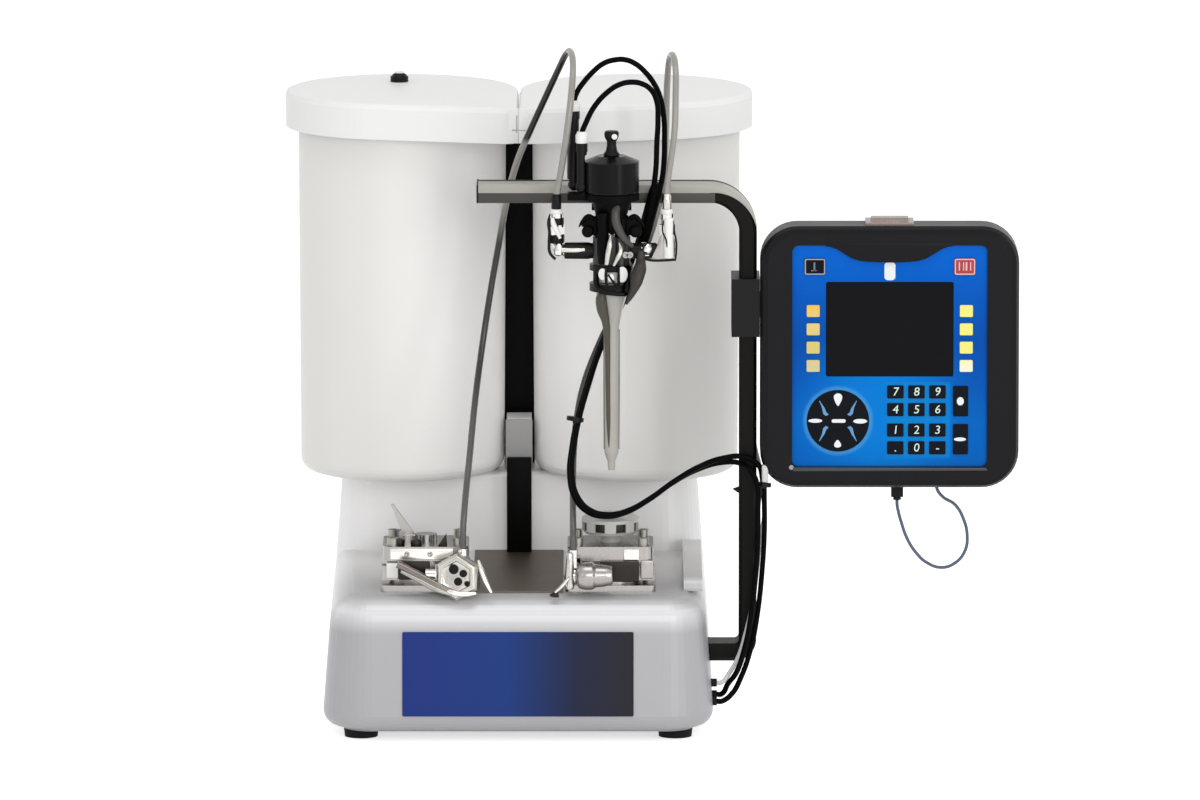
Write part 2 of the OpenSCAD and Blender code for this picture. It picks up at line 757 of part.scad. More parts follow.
module feed_pipes() place() color("gainsboro") both_sides() {
    pipe_top = tower_z - spout_len;
    bend_y = tank_y - feed_bend;
    port_y = pump_y + pump_body_d / 2 + port_len;
    difference() {
        rod_y(tank_x, port_y, feed_z, feed_d, bend_y - port_y);
        rod_y(tank_x, pump_y, feed_z, feed_d - 3, bend_y);
    }
    translate([tank_x, bend_y, feed_z + feed_bend]) rotate([0, 90, 0]) rotate_extrude(angle = 90)
        translate([feed_bend, 0]) difference() {
            circle(d = feed_d);
            circle(d = feed_d - 3);
        }
    translate([tank_x, tank_y, feed_z + feed_bend]) difference() {
        cylinder(d = feed_d, h = pipe_top - feed_z - feed_bend);
        translate([0, 0, -1]) cylinder(d = feed_d - 3, h = pipe_top);
    }
}

// Pump heads
module pump_plate(w, d, t, r) linear_extrude(t) round_rect(w, d, r);

module pump_head() translate([pump_x, pump_y, 0]) difference() {
    union() {
        translate([0, 0, deck_z]) pump_plate(pump_w + 4, pump_d + 8, pump_foot_t, 5);
        translate([0, 0, deck_z + pump_foot_t]) cylinder(d = pump_body_d, h = pump_body_h);
        translate([0, 0, pump_top_z - pump_top_t]) pump_plate(pump_w, pump_d, pump_top_t, 8);
        translate([0, 0, drive_z + tube_head / 2])
            cylinder(d = stub_d, h = deck_z - drive_z - tube_head / 2 + 1);
        translate([pump_body_d / 2 - 4, -24, deck_z + 9]) cube([14, 14, 13]);
        rod_y(tank_x - pump_x, 0, feed_z, feed_d + 7, pump_body_d / 2 + port_len);
    }
    translate([0, 0, drive_z]) cylinder(d = 8, h = deck_z - drive_z + 8);
    rod_y(tank_x - pump_x, 10, feed_z, feed_d - 3, pump_body_d);
    for (sx = [-1, 1], sy = [-1, 1])
        translate([sx * (pump_w / 2 - 9), sy * (pump_d / 2 - 9), pump_top_z - pump_top_t + 1])
            cylinder(d = cap_screw_d + 2 * slip, h = pump_top_t);
}

module pump_block_left() place() color("#c3c4c4") mirror([1, 0, 0]) pump_head();

module pump_block_right() place() color("#c3c4c4") pump_head();

module outlet_elbow() {
    block_x = outlet_x + 18;
    difference() {
        rod_y(block_x, outlet_y, outlet_z, 13, pump_y - outlet_y - 16);
        translate([pump_x, pump_y, 0]) cylinder(d = pump_body_d + 2 * slip, h = pump_top_z);
    }
    rod_x(outlet_x, outlet_y, outlet_z, 13, 34);
    translate([block_x - 9, outlet_y, outlet_z]) rotate([0, 90, 0]) cylinder(d = 21, h = 16, $fn = 6);
    translate([outlet_x, outlet_y, outlet_z]) sphere(d = 17);
    translate([outlet_x, outlet_y, outlet_z]) cylinder(d = 9, h = outlet_top - outlet_z);
    translate([outlet_x, outlet_y, outlet_z + 8]) cylinder(d = 13, h = 9, $fn = 6);
}

module outlet_elbows() place() color("#dcdcdc") both_sides() outlet_elbow();

// Lever with a round hub, a flat arm and a blade that tapers to its raised tip
module shutoff_lever_left() place() color("#a9aaab") translate([-pump_x, pump_y, pump_top_z]) {
    hub_h = 7;
    blade_t = 6;
    cylinder(d = 20, h = hub_h);
    translate([-lever_len * 0.65, -7, 0]) cube([lever_len * 0.65, 14, hub_h - 1]);
    translate([0, blade_t / 2, hub_h - 1 - eps]) rotate([90, 0, 0]) linear_extrude(blade_t)
        polygon([[-lever_len * 0.3, 0], [-lever_len * 0.65, 0], [-lever_len, lever_len * 0.86],
            [-lever_len * 0.93, lever_len * 0.88]]);
}

module shutoff_lever_right() place() color("#a9aaab") translate([pump_x, pump_y, pump_top_z]) difference() {
    union() {
        cylinder(d = 18, h = 9);
        translate([0, 0, 8]) cylinder(d1 = cap_d - 6, d2 = cap_d, h = 3);
        translate([0, 0, 11 - eps]) cylinder(d = cap_d, h = 11);
        translate([0, 0, 22 - 2 * eps]) cylinder(d1 = cap_d, d2 = cap_d - 9, h = 3);
    }
    for (a = [22.5:45:360]) rotate([0, 0, a]) translate([cap_d / 2 - 4, -5, 11]) cube([8, 10, 8]);
}

// Tanks and lids
module tank() translate([tank_x, tank_y, 0]) rotate_extrude($fn = 96) {
    r1 = tank_d / 2;
    r0 = r1 - tank_taper;
    spout_z = tower_z - spout_len;
    polygon(concat([[spout_d / 2 - 4, spout_z], [spout_d / 2, spout_z], [spout_d / 2, tower_z]],
        arc([r0 - 12, tower_z + 12], 12, -90, 0, 5),
        [[r1, rim_z], [r1 - tank_wall, rim_z]],
        arc([r0 - 12, tower_z + 18], 12 - tank_wall, 0, -90, 4),
        [[spout_d / 2 - 4, tower_z + 4]]));
}

module tank_left() place() color("#f2f2ef", 0.8) mirror([1, 0, 0]) tank();

module tank_right() place() color("#f2f2ef", 0.8) tank();

// Plan of a lid: a round with one small forward corner at the seam, drawn in by inset
module lid_plan(inset) {
    r = lid_d / 2 - inset;
    corner = [seam_gap / 2 + prow_r, tank_y - lid_d / 2 - prow + prow_r];
    hull() {
        translate([tank_x, tank_y]) circle(r, $fn = 96);
        translate(corner) circle(prow_r - inset);
    }
}

module lid_shell() difference() {
    top_r = 5;
    hull() {
        translate([0, 0, lid_low]) linear_extrude(lid_h - top_r) lid_plan(0);
        translate([0, 0, lid_top - 2]) linear_extrude(1) lid_plan(1.2);
        translate([0, 0, lid_top - 1]) linear_extrude(1) lid_plan(3.5);
    }
    translate([0, 0, lid_low - 1]) linear_extrude(lid_h - lid_wall + 1) lid_plan(lid_wall);
}

module lid_ring() translate([tank_x, tank_y, rim_z - 12]) difference() {
    r = tank_d / 2 - tank_wall - 1;
    cylinder(r = r, h = 12 + 1, $fn = 96);
    translate([0, 0, -1]) cylinder(r = r - 3, h = 15, $fn = 96);
}

module lid() {
    lid_shell();
    lid_ring();
}

module lid_left() place() color("#f7f7f5") difference() {
    mirror([1, 0, 0]) lid();
    translate([plug_x, plug_y, lid_top - 10]) cylinder(d = plug_d, h = 20);
}

module lid_right() place() color("#f7f7f5") lid();

module lid_plug() place() color("black") translate([plug_x, plug_y, lid_top]) {
    cylinder(d = plug_d + 5.5, h = 5);
    translate([0, 0, 5 - eps]) cylinder(d1 = plug_d + 4, d2 = plug_d, h = 2.5);
    translate([0, 0, -plug_stem]) cylinder(d = plug_d - 2 * run_gap, h = plug_stem + eps);
}

// Column between the tanks
module tank_column() place() color("#0c0c0c") translate([-column_w / 2, tank_y + 28, tower_z]) difference() {
    cube([column_w, column_t, lid_low - tower_z - 6]);
    translate([3, 3, 10]) cube([column_w - 6, column_t - 6, lid_low - tower_z]);
}

module column_foot() place() color("#0c0c0c") {
    post_y = tower_y - 3 - post_t;
    translate([-post_w / 2, post_y, deck_z + 1.5]) cube([post_w, post_t, post_h - 1.5]);
    translate([0, post_y + post_t / 2 - 6, deck_z + 1.5]) cylinder(d = post_w + 6, h = 2.5);
    translate([-post_w / 2 + 3, post_y + post_t - 1, deck_z + 30]) cube([post_w - 6, 3 + draft * 40, 40]);
}

// Mast: a chamfered tube bent once at the top and once at its foot
module mast_section(grow) {
    w = mast_t / 2 + grow;
    d = mast_d / 2 + grow;
    c = 3;
    polygon([[-w, -d + c], [-w + c, -d], [w - c, -d], [w, -d + c],
        [w, d - c], [w - c, d], [-w + c, d], [-w, d - c]]);
}

module mast_solid(grow) {
    post_low = stub_z + stub_bend;
    post_high = bar_z - bend_r;
    translate([0, 0, post_low]) linear_extrude(post_high - post_low) mast_section(grow);
    translate([-bend_r, 0, post_high]) rotate([90, 0, 0]) rotate_extrude(angle = 90)
        translate([bend_r, 0]) mast_section(grow);
    translate([-bend_r, 0, bar_z]) rotate([0, -90, 0])
        linear_extrude(mast_x - bend_r - bar_x0) mast_section(grow);
    translate([-stub_bend, 0, post_low]) rotate([90, 0, 0]) rotate_extrude(angle = -90)
        translate([stub_bend, 0]) mast_section(grow);
    translate([-stub_bend, 0, stub_z]) rotate([0, -90, 0])
        linear_extrude(mast_x - stub_bend - socket_x - 4) mast_section(grow);
}

module mast() place() color("#2b2926") translate([mast_x, mast_y, 0]) difference() {
    mast_solid(0);
    intersection() {
        mast_solid(-mast_wall);
        translate([bar_x0 - mast_x + 3, -mast_d, 0])
            cube([mast_x - bar_x0 + mast_t, 2 * mast_d, bar_z + mast_t]);
    }
}

// Clamp on the mast with the hollow tilt pivot
module display_clamp() place() color("#101010") difference() {
    union() {
        translate([clamp_x0, mast_y - mast_d / 2 - clamp_front, clamp_z - clamp_h / 2])
            cube([clamp_x1 - clamp_x0, mast_d + 2 * clamp_front, clamp_h]);
        rod_x(clamp_x1 - 1, pivot_y, clamp_z, pivot_d, 12);
        translate([cable_path[0][0], cable_path[0][1], cable_path[0][2]]) cylinder(d = 9, h = 12);
        translate([cable_path[0][0] - 4.5, mast_y + mast_d / 2 + clamp_front - 1, cable_path[0][2]])
            cube([9, cable_path[0][1] - mast_y - mast_d / 2 - clamp_front + 1, 12]);
    }
    translate([mast_x, mast_y, clamp_z - clamp_h]) linear_extrude(2 * clamp_h) mast_section(slip);
    rod_x(mast_x + mast_t / 2, pivot_y, clamp_z, pivot_d - 12, 30);
}

module cable_glands() place() color("#1a1a1a") for (p = [open_path, close_path, cable_path]) {
    q = p[len(p) - 1];
    rod_x(base_w / 2 - 2 * wall, q[1], q[2], gland_d, 2 * wall + gland_proud);
}

// Display
module display_frame() translate([disp_cx, 0, disp_cz]) children();

module face_window(grow) translate([disp_cx, 0, window_z]) rotate([90, 0, 0]) translate([0, 0, -200])
    linear_extrude(200) difference() {
        round_rect(face_w + 2 * grow, face_h + 2 * grow, 6 + grow);
        translate([0, face_h / 2 + grow]) polygon([[-52 + grow, 2], [-40 + grow, -6], [-32 + grow, -12.5],
            [32 - grow, -12.5], [40 - grow, -6], [52 - grow, 2]]);
    }

module display_bezel() place() color("#141414") difference() {
    display_frame() hull() {
        plate_xz(display_w - 14, display_h - 14, display_r - 7, display_y, 1, $fn = 40);
        plate_xz(display_w - 5, display_h - 5, display_r - 2.5, display_y + 2, 1, $fn = 40);
        plate_xz(display_w, display_h, display_r, display_y + 7, bezel_t - 7, $fn = 40);
    }
    intersection() {
        face_window(slip);
        translate([display_x, 0, display_z]) cube([display_w, face_y + face_t, display_h]);
    }
    rim = 2 * shell_wall;
    display_frame()
        plate_xz(display_w - rim, display_h - rim, display_r - shell_wall, face_y + face_t, bezel_t);
}

// Plug under the display that the loop cord leaves
module loop_plug() translate([loop_path[0][0], loop_path[0][1], loop_path[0][2]]) {
    translate([-5.5, -4.5, 3]) cube([11, 9, display_z + 1 - loop_path[0][2]]);
    cylinder(d = 7, h = 4);
}

module display_shell() place() color("#181818") difference() {
    union() {
        display_frame() hull() {
            plate_xz(display_w, display_h, display_r, shell_y, shell_t - 10, $fn = 40);
            plate_xz(display_w - 12, display_h - 12, display_r - 6, shell_y + shell_t - 2, 2, $fn = 40);
        }
        loop_plug();
    }
    skirt = 2 * shell_wall + 8;
    display_frame()
        plate_xz(display_w - skirt, display_h - skirt, display_r - skirt / 2,
            shell_y - 1, shell_t - shell_wall + 1);
    rod_x(display_x - 1, pivot_y, clamp_z, pivot_d + 2 * run_gap, 13);
}

module faceplate() place() color("#0a62c4") difference() {
    intersection() {
        face_window(0);
        translate([display_x, face_y, display_z]) cube([display_w, face_t, display_h]);
    }
    translate([disp_cx, 0, screen_z]) plate_xz(screen_w, screen_h, 2, face_y - 1, face_t + 2);
    start_stop_pockets();
    translate([nav_x(), 0, nav_z()]) rod_y(0, face_y - 1, 0, nav_d + 2 * run_gap, face_t + 2);
}

module screen() place() color("#050507") {
    translate([disp_cx, 0, screen_z])
        plate_xz(screen_w - 2 * slip, screen_h - 2 * slip, 2, face_y + 0.8, face_t - 0.8 + eps);
    translate([disp_cx, 0, screen_z]) plate_xz(screen_w + 16, screen_h + 8, 3, face_y + face_t, 7);
}

// Centres of the keys, from the middle of the faceplate
function nav_x() = disp_cx - nav_side;
function nav_z() = window_z - nav_drop;
function power_key_x(side) = disp_cx + side * (screen_w / 2 + 10);
function power_key_z() = screen_z + screen_h / 2 + 14;

module start_stop_pockets() for (side = [-1, 1]) translate([power_key_x(side), 0, power_key_z()])
    plate_xz(19 + 2 * run_gap, 15 + 2 * run_gap, 2, face_y - 1, face_t + 2);

module power_key() translate([0, 0, power_key_z()]) {
    plate_xz(19, 15, 2, face_y - key_out, face_t + key_out - 1);
    plate_xz(22, 18, 2, face_y + face_t + key_travel - 0.5, 2);
    plate_xz(12, 9, 2, face_y + face_t - 1.5, key_travel + 2);
}

module start_key() place() color("#1c1c1c") translate([power_key_x(-1), 0, 0]) power_key();

module stop_key() place() color("#b01818") translate([power_key_x(1), 0, 0]) power_key();

module nav_pad() place() color("#101418") translate([nav_x(), 0, nav_z()]) difference() {
    union() {
        rod_y(0, face_y - key_out, 0, nav_d, face_t + key_out - 1);
        rod_y(0, face_y + face_t - 1.5, 0, nav_d - 12, key_travel + 2);
    }
    rotate([0, 45, 0]) for (a = [0:90:270])
        rotate([0, a, 0]) translate([12, face_y - key_out - 1, -1]) cube([nav_d / 2, 1.6, 2]);
    rod_y(0, face_y - key_out - 1, 0, 18, 1.6);
}

// Fixed pads of the membrane keypad
module key_pad(x, z, w, h) translate([x, 0, z]) plate_xz(w, h, 1.2, face_y - 0.8, 0.8);

module keypad() place() color("#e8c070") {
    soft_side = (screen_w + soft_w) / 2 + 5.6;
    row_gap = 2.5;
    for (side = [-1, 1], i = [0:3])
        key_pad(disp_cx + side * soft_side, screen_z + (1 - i) * soft_pitch, soft_w, soft_h);
    for (col = [0:2], row = [0:3])
        key_pad(disp_cx + digit_side + col * digit_pitch_x,
            window_z - digit_drop - row * digit_pitch_z - (row > 1 ? row_gap : 0), digit_w, digit_h);
    for (row = [0, 1])
        key_pad(disp_cx + tall_side, window_z - tall_drop - row * tall_pitch, tall_w, tall_h);
}

module display_hook() place() color("#9c9ea0") {
    hook_w = 44;
    top = display_z + display_h;
    translate([disp_cx - hook_w / 2, shell_y - 4, top]) cube([hook_w, shell_t - 6 + 3, 2.5]);
    translate([disp_cx - hook_w / 2 + 5, shell_y + 6, top + 2.5 - eps]) cube([hook_w - 10, 14, 3]);
}

module display_loop() place() color("#5f7388") cord(loop_path, loop_d, 8);

// Dispense valve
module at_valve() translate([valve_x, valve_y, 0]) children();

module valve_bracket() place() color("#1b1b1c") difference() {
    clamp_y = mast_y - mast_d / 2;
    grip = 6;
    union() {
        translate([valve_x - bracket_w / 2, clamp_y - grip, bar_z - mast_t / 2 - grip])
            cube([bracket_w, mast_d + 2 * grip, mast_t + 2 * grip]);
        at_valve() translate([0, 0, cyl_z - plate_z]) cylinder(d = cyl_d, h = plate_z);
        translate([valve_x - bracket_w / 2, valve_y, cyl_z - plate_z])
            cube([bracket_w, clamp_y - valve_y, plate_z]);
        translate([valve_x - cyl_d * 0.8, valve_y - 8, cyl_z - plate_z]) cube([cyl_d * 0.56, 16, plate_z]);
    }
    translate([bar_x0, mast_y, bar_z]) rotate([0, 90, 0]) linear_extrude(200) mast_section(slip);
    at_valve() translate([0, 0, cyl_z - 20]) cylinder(d = neck_d - 8 + 2 * slip, h = 40);
    at_valve() translate([0, 0, cyl_z]) cylinder(d = cyl_d + 2 * slip, h = 40);
}

module air_cylinder() place() color("#161617") at_valve() rotate_extrude($fn = 72) {
    r = cyl_d / 2;
    top = cyl_z + cyl_h;
    bore_r = cyl_bore / 2;
    stem = stem_d / 2 + run_gap;
    polygon([[stem, cyl_z], [r - 1, cyl_z], [r, cyl_z + 2], [r, top - 5], [r - 12, top], [6, top],
        [6, top - 5], [bore_r, top - 5], [bore_r, cyl_z + cyl_floor], [stem, cyl_z + cyl_floor]]);
}

module adjuster_knob() place() color("#111111") at_valve() difference() {
    top = cyl_z + cyl_h;
    union() {
        translate([0, 0, top - 9]) cylinder(d = 12 - 2 * run_gap, h = 9);
        translate([0, 0, top + run_gap]) cylinder(d = 14, h = 4);
        translate([0, 0, top - eps]) cylinder(d = 9.5, h = 14);
        translate([0, 0, top + 12]) cylinder(d1 = 10, d2 = 12.5, h = 3);
        translate([0, 0, top + 15 - eps]) cylinder(d = 12.5, h = 7);
    }
    rod_y(0, -10, top + 17.5, 4, 20);
}

module valve_piston() place() color("#9fa2a5") at_valve() {
    low = cyl_z + cyl_floor + run_gap;
    translate([0, 0, low]) cylinder(d = cyl_bore - 2 * run_gap, h = piston_h);
    yoke_in = neck_low + 4;
    translate([0, 0, yoke_in]) cylinder(d = stem_d, h = low - yoke_in + eps);
    translate([-leg_x - 2, -2.5, yoke_in]) cube([2 * leg_x + 4, 5, crossbar_t]);
    for (sx = [-1, 1]) translate([sx * leg_x, 0, body_low + 6])
        cylinder(d = needle_d, h = yoke_in - body_low - 5);
}

// Wing at the side of the yoke, from its root at the leg
module yoke_wing()
    polygon(concat([[-4, 0], [-4, 15]], arc([0, 5], 13, 75, 20, 4), [[9, 9], [6, 3]]));

module valve_yoke() place() color("#151516") at_valve() difference() {
    union() {
        translate([0, 0, neck_low])
            cylinder(d1 = neck_d - 2, d2 = neck_d + 10, h = cyl_z - plate_z - neck_low);
        translate([0, 0, cyl_z - plate_z - eps]) cylinder(d = neck_d - 8, h = plate_z);
        for (sx = [-1, 1]) translate([sx * leg_x, 0, body_top])
            cylinder(d = leg_d, h = leg_h + 2);
        for (sx = [-1, 1]) translate([sx * 15, 4, body_top]) rotate([90, 0, 0]) linear_extrude(8)
            scale_x(sx) yoke_wing();
    }
    translate([0, 0, neck_low + 3]) cylinder(d = neck_d - 4, h = crossbar_t + valve_stroke + 3);
    translate([0, 0, neck_low]) cylinder(d = stem_d + 2 * run_gap, h = cyl_z);
    for (sx = [-1, 1]) translate([sx * leg_x, 0, body_top - 1])
        cylinder(d = needle_d + 2 * run_gap, h = neck_low - body_top + 8);
}

module scale_x(s) mirror([s < 0 ? 1 : 0, 0]) children();

module valve_body() place() color("#cfd0d1") at_valve() difference() {
    union() {
        translate([0, 0, body_low]) linear_extrude(body_top - body_low) {
            round_rect(34, 22, 7);
            for (sx = [-1, 1]) translate([sx * 8, -8]) circle(d = 11);
        }
        translate([0, 0, bell_top]) cylinder(d = spigot_d, h = body_low - bell_top + 1);
        translate([0, 0, bell_top]) cylinder(d = seat_d, h = seat_t);
        for (sx = [-1, 1]) rod_x(sx > 0 ? 16 : -26, 0, inlet_z, 13, 10);
    }
    for (sx = [-1, 1]) {
        translate([sx * leg_x, 0, body_low + 5]) cylinder(d = needle_d + 2 * run_gap, h = body_top);
        translate([sx * 2.6, 0, bell_top - 1]) cylinder(d = 3, h = body_low - bell_top + 12);
        rod_x(sx > 0 ? 2.6 : -28, 0, inlet_z, 5, 25.4);
    }
}

module inlet_fitting() {
    elbow_r = 9;
    x = inlet_reach;
    rod_x(26, 0, inlet_z, 10, x - elbow_r - 26);
    translate([27, 0, inlet_z]) rotate([0, 90, 0]) cylinder(d = 15, h = 7, $fn = 6);
    translate([x - elbow_r, 0, inlet_z + elbow_r]) rotate([90, 0, 0]) rotate_extrude(angle = -90)
        translate([elbow_r, 0]) circle(d = 10);
    translate([x, 0, inlet_z + elbow_r]) cylinder(d = 10, h = fitting_h - elbow_r - 3);
    translate([x, 0, inlet_z + elbow_r + 6]) cylinder(d = 15, h = 9, $fn = 6);
    translate([x, 0, inlet_z + fitting_h - 5]) cylinder(d = 12.5, h = 5);
}

module inlet_fittings() place() color("#d6d7d8") at_valve() for (side = [-1, 1]) {
    q = side < 0 ? fluid_left_path[len(fluid_left_path) - 1] : fluid_right_path[len(fluid_right_path) - 1];
    scale_x3(side) inlet_fitting();
    translate([side * inlet_reach, 0, inlet_z + fitting_h - eps])
        cylinder(d = fluid_d + 2, h = q[2] - inlet_z - fitting_h);
}

module scale_x3(s) mirror([s < 0 ? 1 : 0, 0, 0]) children();

module air_fitting(p, low) {
    translate([p[0], p[1], low]) cylinder(d = 9, h = p[2] - 12 - low);
    translate([p[0], p[1], p[2] - 12 - eps]) cylinder(d = 10.5, h = 12);
}

module air_fittings() place() color("#171718") {
    a = open_path[0];
    b = close_path[0];
    low = cyl_z + 6;
    difference() {
        union() {
            air_fitting(a, low);
            air_fitting(b, low);
            translate([a[0], a[1], low]) sphere(d = 11);
            translate([b[0], b[1], low]) sphere(d = 11);
            rod_x(b[0], b[1], low, 8, valve_x - b[0] - 10);
            rod_x(a[0], a[1], low, 8, valve_x - a[0] - 10);
        }
        at_valve() translate([0, 0, cyl_z - 1]) cylinder(d = cyl_d + 2 * slip, h = cyl_h + 2, $fn = 72);
    }
}

// Static mixer
module mixer_nut() place() color("#2a2a2c") at_valve() difference() {
    translate([0, 0, nut_top - nut_h]) cylinder(d = nut_d, h = nut_h);
    translate([0, 0, bell_top - flange_t - run_gap]) cylinder(d = flange_d + 2 * run_gap, h = nut_h + 5);
    translate([0, 0, nut_top - nut_h - 1]) cylinder(d = bell_d + 2 * run_gap, h = nut_h);
    for (a = [0, 90]) rotate([0, 0, a])
        translate([-11, -nut_d, bell_top - 1]) cube([22, 2 * nut_d, nut_top - bell_top - 4]);
}

module mixer_tube() place() color("#b8b6ae", 0.6) at_valve() rotate_extrude($fn = 64) {
    r = mixer_d / 2;
    tube_top = bell_top - bell_h;
    bell_r = bell_d / 2;
    polygon([[outlet_bore / 2, mixer_z], [3.2, mixer_z], [3.6, mixer_z + 8], [r, mixer_z + 16],
        [r + 0.3, tube_top], [r + 3.5, tube_top + 16], [bell_r - 1, tube_top + 28],
        [bell_r, bell_top - flange_t], [flange_d / 2, bell_top - flange_t],
        [flange_d / 2, bell_top - run_gap], [9, bell_top - run_gap], [8.5, tube_top + 22],
        [r - 1.2, tube_top + 2], [r - 1.5, mixer_z + 18], [outlet_bore / 2, mixer_z + 12]]);
}

module mixer_element() place() color("#d8d6cc") at_valve() {
    r = mixer_d / 2 - 2.2;
    step = (mixer_len - 24) / mixer_turns;
    for (i = [0:mixer_turns - 1]) translate([0, 0, mixer_z + 19 + i * step]) rotate([0, 0, i * 90])
        linear_extrude(step, twist = i % 2 == 0 ? 180 : -180, slices = 7, segments = 4)
            square([2 * r, 1.2], center = true);
}

// Cords
module fluid_tube_left() place() color("#9a988e") cord(fluid_left_path, fluid_d, 10);

module fluid_tube_right() place() color("#9a988e") cord(fluid_right_path, fluid_d, 10);

module air_line_open() place() color("#0b0b0b") cord(open_path, air_d, 8);

module air_line_close() place() color("#0b0b0b") cord(close_path, air_d, 8);

module display_cable() place() color("#b9bbbd") cord(cable_path, cable_d, 8);

base_housing();
bottom_plate();
rubber_feet();
front_panel();
deck_plate();
rear_cover();
socket_screws();
power_inlet();
power_switch();
air_inlet();
drive_frame();
drive_motor();
ball_screw();
crosshead();
piston_rods();
metering_tubes();
power_supply();
air_manifold();
feed_pipes();
pump_block_left();
pump_block_right();
outlet_elbows();
shutoff_lever_left();
shutoff_lever_right();
tank_left();
tank_right();
lid_left();
lid_right();
lid_plug();
tank_column();
column_foot();
mast();
display_clamp();
cable_glands();
display_shell();
display_bezel();
faceplate();
screen();
display_hook();
start_key();
stop_key();
nav_pad();
keypad();
valve_bracket();
air_cylinder();
adjuster_knob();
valve_piston();
valve_yoke();
valve_body();
inlet_fittings();
air_fittings();
mixer_nut();
mixer_tube();
mixer_element();
fluid_tube_left();
fluid_tube_right();
air_line_open();
air_line_close();
display_cable();
display_loop();
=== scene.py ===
"""Looks for the benchtop two-component dispensing machine.

Machine lengths are in millimetres from the machine's own centre line and front face, as in the CAD
source, and at() turns them into metres in the frame.
"""

import math

import bpy
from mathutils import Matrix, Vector


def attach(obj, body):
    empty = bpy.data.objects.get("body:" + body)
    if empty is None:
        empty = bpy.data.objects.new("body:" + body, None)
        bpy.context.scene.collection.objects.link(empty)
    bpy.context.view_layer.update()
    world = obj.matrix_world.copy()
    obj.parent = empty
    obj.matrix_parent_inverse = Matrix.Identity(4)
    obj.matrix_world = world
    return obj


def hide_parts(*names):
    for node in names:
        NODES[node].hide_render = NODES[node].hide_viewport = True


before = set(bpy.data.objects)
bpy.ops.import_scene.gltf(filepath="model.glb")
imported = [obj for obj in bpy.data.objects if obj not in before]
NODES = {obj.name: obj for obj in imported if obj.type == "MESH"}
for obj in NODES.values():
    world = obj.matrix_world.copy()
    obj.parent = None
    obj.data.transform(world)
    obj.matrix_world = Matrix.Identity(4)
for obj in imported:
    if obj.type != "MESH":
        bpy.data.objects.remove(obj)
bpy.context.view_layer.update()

# Where the machine's centre line and front face are in the frame, in millimetres
MACHINE_X = -119.9
MACHINE_Y = -223.0


def at(x, y, z):
    """A machine point in millimetres as a frame point in metres."""
    return Vector(((x + MACHINE_X) / 1000, (y + MACHINE_Y) / 1000, z / 1000))


def mm(value):
    """Millimetres as metres."""
    return value / 1000


def shade(red, green, blue):
    """A display colour from 0 to 255 as the linear colour that shaders take."""
    linear = []
    for value in (red, green, blue):
        c = value / 255
        linear.append(c / 12.92 if c <= 0.04045 else ((c + 0.055) / 1.055) ** 2.4)
    return (*linear, 1.0)


# Camera

# The picture's width in pixels, and what one of them shows of the machine
PHOTO_W = 1200
MM_PER_PX = 0.92
SENSOR_W = 36
# The camera's distance in metres, and how far it looks down
CAMERA_FAR = 14.0
LOOK_DOWN = math.radians(8.85)
# The middle of the picture: pixels right of the centre line, and millimetres above the bench
AIM_ASIDE_PX = 81
AIM_Z = 281.6
AIM = at(AIM_ASIDE_PX * MM_PER_PX, -MACHINE_Y, AIM_Z)


def make_camera():
    """A long lens that looks slightly down at the machine's front."""
    data = bpy.data.cameras.new("camera")
    data.sensor_width = SENSOR_W
    data.lens = SENSOR_W * CAMERA_FAR / mm(PHOTO_W * MM_PER_PX)
    data.clip_start = 0.1
    data.clip_end = 100
    camera = bpy.data.objects.new("camera", data)
    bpy.context.scene.collection.objects.link(camera)
    backward = Vector((0, -math.cos(LOOK_DOWN), math.sin(LOOK_DOWN)))
    camera.location = AIM + CAMERA_FAR * backward
    camera.rotation_euler = (math.radians(90) - LOOK_DOWN, 0, 0)
    bpy.context.scene.camera = camera


make_camera()


# Cord routes, as in the CAD source

FLUID_LEFT = [
    (-50, 30, 174), (-50, 30, 190), (-48, 38, 218), (-44, 62, 256), (-39, 92, 304), (-33, 112, 348),
    (-26, 118, 394), (-18, 121, 440), (-9, 122, 488), (0, 122, 520), (12, 121, 548), (25, 118, 577),
    (37, 110, 604), (44, 94, 620), (48, 74, 624), (50, 54, 616), (49, 39, 596), (46, 32, 568),
    (41, 32, 532), (36, 33, 503), (35, 34, 497), (35, 34, 492),
]
FLUID_RIGHT = [
    (50, 30, 174), (50, 30, 178), (50, 31, 186), (50, 36, 194), (50, 46, 206), (50, 58, 220),
    (50, 68, 240), (51, 76, 264), (54, 82, 291), (60, 87, 318), (70, 92, 345), (83, 97, 373),
    (98, 103, 402), (113, 110, 432), (124, 117, 462), (131, 120, 496), (134, 120, 532),
    (135, 118, 566), (136, 108, 597), (138, 90, 617), (141, 70, 621), (143, 52, 611),
    (143, 41, 588), (142, 35, 557), (138, 34, 526), (135, 34, 505), (135, 34, 500),
]
AIR_OPEN = [
    (51, 44, 579), (51, 44, 583), (54, 44, 592), (60, 43, 601), (69, 43, 611), (78, 43, 618),
    (88, 44, 621), (98, 44, 621), (107, 45, 617), (115, 46, 610), (122, 48, 601), (128, 49, 589),
    (132, 50, 571), (133, 50, 545), (132, 50, 520), (128, 50, 498), (122, 51, 474), (114, 53, 446),
    (103, 57, 414), (88, 58, 381), (74, 54, 352), (64, 49, 322), (56, 44, 294), (51, 40, 268),
    (49, 38, 243), (54, 36, 222), (66, 37, 209), (82, 38, 205), (99, 40, 208), (120, 43, 219),
    (143, 46, 235), (166, 49, 248), (187, 51, 255), (205, 52, 256), (218, 53, 249), (223, 54, 234),
    (224, 54, 214), (224, 54, 184), (222, 53, 150), (218, 52, 112), (212, 51, 80), (203, 50, 53),
    (194, 49, 37), (185, 48, 31), (181, 48, 31),
]
